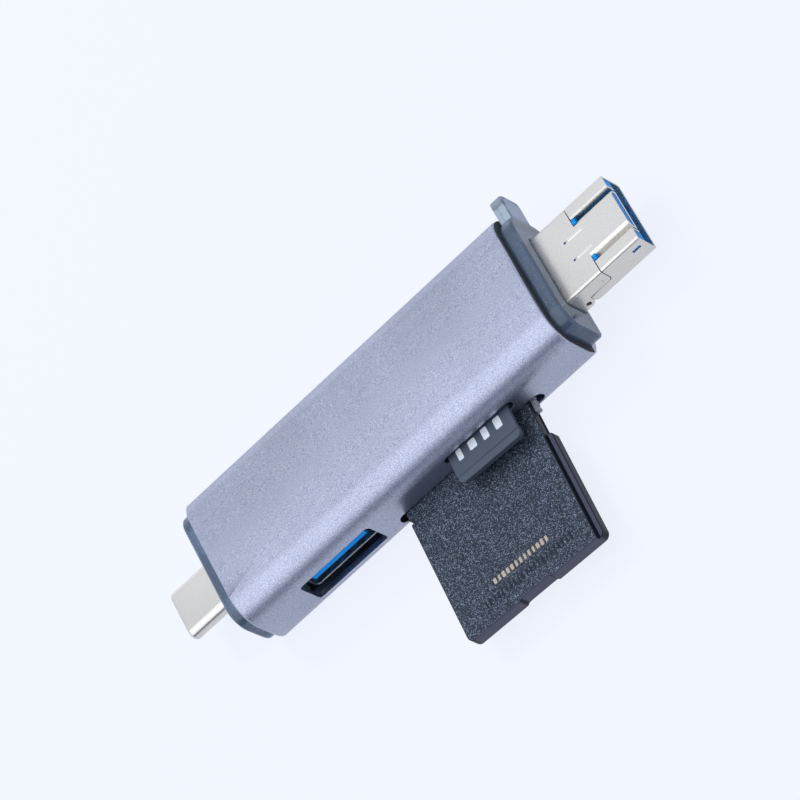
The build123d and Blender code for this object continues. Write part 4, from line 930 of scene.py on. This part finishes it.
@dataclass
class MicroCard:
    """The small card over the large one, and its socket inside the tube.

    Attributes:
        place: Where the card lies.
        ease_mm: The width of the card's eased edges.
        sharp_deg: Edges that turn by more than this are eased, the shallow bevel's too.
        row_mm: Where the row of marks starts, across the card and along it.
    """

    place: CardPlace = field(default_factory=lambda: CardPlace(
        x_mm=11.63, y_mm=-11.4, top_mm=7.51, turn_deg=-2.3))
    ease_mm: float = 0.05
    sharp_deg: float = 9.0
    row_mm: tuple[float, float] = (-3.7, -0.8)

    def dress(self, frame: dict[str, Any]) -> None:
        """Dresses the card, its row of marks and its socket."""
        EasedPiece(
            "micro_card", MICRO_CARD_EPOXY, Slot.CARD, self.ease_mm,
            sharp_deg=self.sharp_deg).build(frame)
        PrintedRow(
            "micro_card_marks", WHITE_INK, count=4, pitch_mm=2.3, mark_mm=(1.5, 1.8),
            corner_mm=0.25, film_mm=0.01, seed=8).build(self.place.at(*self.row_mm))
        paint(frame, GOLD_FLASH, "micro_card_contacts", "micro_socket_springs")
        paint(frame, BLACK_POLYMER, "micro_socket_base")
        paint(frame, NICKEL_PLATE, "micro_socket_cover")


@dataclass
class CircuitBoard:
    """The board in the tube and the chips on it."""

    def dress(self, frame: dict[str, Any]) -> None:
        """Gives the board and what is on it their finishes."""
        paint(frame, BOARD_LACQUER, "main_board")
        paint(frame, CHIP_RESIN, "card_controller", "hub_chip")
        paint(frame, NICKEL_PLATE, "crystal")
        paint(frame, CAPACITOR_CERAMIC, "capacitors")


# Studio


@dataclass
class SoftBox:
    """A large soft lamp that looks at the reader.

    Attributes:
        name: The lamp's name.
        place_mm: Where its middle is.
        size_mm: Its width and height.
        level: How bright it looks, where one is white.
        in_mirrors: Whether shiny and clear things show it.
        tint: Its colour, as sRGB hex.
    """

    name: str
    place_mm: tuple[float, float, float]
    size_mm: tuple[float, float]
    level: float
    in_mirrors: bool = True
    tint: str = "#fbfcff"

    def build(self) -> None:
        """Hangs the lamp and turns it to the reader."""
        lamp = bpy.data.lights.new(self.name, "AREA")
        lamp.shape = "RECTANGLE"
        lamp.size = self.size_mm[0] * MM
        lamp.size_y = self.size_mm[1] * MM
        lamp.energy = self.level * math.pi * lamp.size * lamp.size_y
        lamp.color = linear(self.tint)[:3]
        made = new_object(self.name, lamp)
        made.location = Vector(self.place_mm) * MM
        made.rotation_euler = (-made.location).to_track_quat("-Z", "Y").to_euler()
        made.visible_camera = False
        made.visible_glossy = self.in_mirrors
        made.visible_transmission = self.in_mirrors


@dataclass
class Studio:
    """The floor, the lamps, the surroundings and the camera.

    Attributes:
        camera_mm: Where the camera stands.
        camera_deg: How it is turned about X, Y and Z.
        lens_mm: Its focal length.
        sensor_mm: The width of its sensor.
        clip_m: The nearest and furthest that it sees.
        floor_mm: The length and width of the floor.
        floor_drop_mm: How far below the reader the floor lies.
        floor_colour: The floor's colour, as sRGB hex.
        floor_glow: How much of the floor's look is free of shadow.
        floor_level: How bright that part looks.
        floor_mirrored: How bright it looks in mirrors.
        room_colour: The room's colour, as sRGB hex.
        room_level: How bright the room is all round in mirrors.
        fill_level: How bright the light is that it sheds on dull things.
        dark_level: How bright it is where a dark flag stands, low in front of the reader.
        flag_colour: The flag's colour, as sRGB hex.
        flag_way: The way from the reader to the flag.
        flag_reach: How nearly a ray goes that way where the flag starts, and where it is full.
        lamps: The soft lamps.
    """

    camera_mm: tuple[float, float, float] = (236.165, -430.207, 573.891)
    camera_deg: tuple[float, float, float] = (20.28151, 36.26323, -29.75310)
    lens_mm: float = 251.47
    sensor_mm: float = 36.0
    clip_m: tuple[float, float] = (0.01, 20.0)
    floor_mm: float = 6000.0
    floor_drop_mm: float = 0.05
    floor_colour: str = "#f0f4ff"
    floor_glow: float = 0.9
    floor_level: float = 1.03
    floor_mirrored: float = 0.85
    room_colour: str = "#f2f5ff"
    room_level: float = 0.84
    fill_level: float = 0.5
    dark_level: float = 0.22
    flag_colour: str = "#b4c0e6"
    flag_way: tuple[float, float, float] = (-0.31, -0.95, 0.02)
    flag_reach: tuple[float, float] = (0.80, 0.93)
    lamps: list[SoftBox] = field(default_factory=lambda: [
        SoftBox(
            "overhead_softbox", place_mm=(-139.0, -105.0, 404.0), size_mm=(620.0, 820.0),
            level=0.63),
        SoftBox(
            "back_key", place_mm=(-120.0, 260.0, 400.0), size_mm=(160.0, 160.0),
            level=12.0, in_mirrors=False),
        SoftBox(
            "low_back_strip", place_mm=(-100.0, 385.0, 60.0), size_mm=(420.0, 110.0),
            level=0.4),
    ])

    def build(self) -> None:
        """Sets up everything that isn't part of the reader."""
        view = bpy.context.scene.view_settings
        view.view_transform = "Standard"
        self._camera()
        self._floor()
        self._room()
        for lamp in self.lamps:
            lamp.build()

    def _camera(self) -> None:
        """Stands the camera where the photograph was taken from."""
        optics = bpy.data.cameras.new("photograph_camera")
        optics.lens = self.lens_mm
        optics.sensor_width = self.sensor_mm
        optics.clip_start, optics.clip_end = self.clip_m
        camera = new_object("photograph_camera", optics)
        camera.location = Vector(self.camera_mm) * MM
        camera.rotation_euler = [math.radians(angle) for angle in self.camera_deg]
        bpy.context.scene.camera = camera

    def _floor(self) -> None:
        """Lays the pale floor, which looks nearly white and keeps a soft shadow."""
        half = self.floor_mm * MM / 2
        depth = -self.floor_drop_mm * MM
        mesh = bpy.data.meshes.new("floor")
        corners = [
            (-half, -half, depth), (half, -half, depth), (half, half, depth), (-half, half, depth),
        ]
        mesh.from_pydata(corners, [], [(0, 1, 2, 3)])
        floor = new_object("floor", mesh)
        made = bpy.data.materials.new("painted_studio_floor")
        tree = cleared_tree(made)
        colour = linear(self.floor_colour)
        dull = add_node(tree, "ShaderNodeBsdfDiffuse", {"Color": colour}).outputs["BSDF"]
        path = add_node(tree, "ShaderNodeLightPath").outputs
        level = ramp(tree, path["Is Glossy Ray"], (self.floor_level, self.floor_mirrored))
        glow = add_node(tree, "ShaderNodeEmission", {
            "Color": colour, "Strength": level}).outputs["Emission"]
        share = add_node(tree, "ShaderNodeMath", {
            0: self._seen(tree, path), 1: self.floor_glow}, operation="MULTIPLY").outputs[0]
        mixed = add_node(tree, "ShaderNodeMixShader", {0: share, 1: dull, 2: glow}).outputs["Shader"]
        add_node(tree, "ShaderNodeOutputMaterial", {"Surface": mixed})
        mesh.materials.append(made)

    def _room(self) -> None:
        """Fills the room with even light, with the flag in what mirrors show, and white to the eye."""
        world = bpy.data.worlds.new("studio_room")
        bpy.context.scene.world = world
        tree = cleared_tree(world)
        way = add_node(tree, "ShaderNodeTexCoord").outputs["Generated"]
        near_flag = add_node(tree, "ShaderNodeVectorMath", {
            0: way, 1: Vector(self.flag_way).normalized()}, operation="DOT_PRODUCT").outputs["Value"]
        path = add_node(tree, "ShaderNodeLightPath").outputs
        flag = ramp(
            tree, near_flag, (0.0, path["Is Glossy Ray"]), self.flag_reach,
            interpolation_type="SMOOTHSTEP")
        lit = ramp(tree, flag, (self.room_level, self.dark_level))
        filled = ramp(tree, path["Is Diffuse Ray"], (lit, self.fill_level))
        strength = ramp(tree, path["Is Camera Ray"], (filled, 1.0))
        colour = mix_colours(tree, flag, linear(self.room_colour), linear(self.flag_colour))
        glow = add_node(tree, "ShaderNodeBackground", {
            "Color": colour, "Strength": strength}).outputs["Background"]
        add_node(tree, "ShaderNodeOutputWorld", {"Surface": glow})
        # The room is nearly even, so rays aren't aimed at its brightest parts
        world.cycles.sampling_method = "NONE"

    def _seen(self, tree: bpy.types.NodeTree, path: Any) -> Any:
        """Gives one for rays from the camera, from mirrors and through clear things."""
        either = add_node(tree, "ShaderNodeMath", {
            0: path["Is Camera Ray"], 1: path["Is Glossy Ray"]}, operation="MAXIMUM").outputs[0]
        return add_node(tree, "ShaderNodeMath", {
            0: either, 1: path["Is Transmission Ray"]}, operation="MAXIMUM").outputs[0]


def main() -> None:
    """Loads the part and dresses it, one sub-assembly after the other."""
    logging.basicConfig(level=logging.INFO, format="%(name)s: %(message)s")
    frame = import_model()
    assemblies = [
        AluminiumBody(), EndCaps(), TwoInOnePlug(), OvalPlug(),
        SidePort(), MemoryCard(), MicroCard(), CircuitBoard(),
    ]
    for assembly in assemblies:
        assembly.dress(frame)
        LOG.info("dressed %s", type(assembly).__name__)
    Studio().build()


if __name__ == "__main__":
    main()
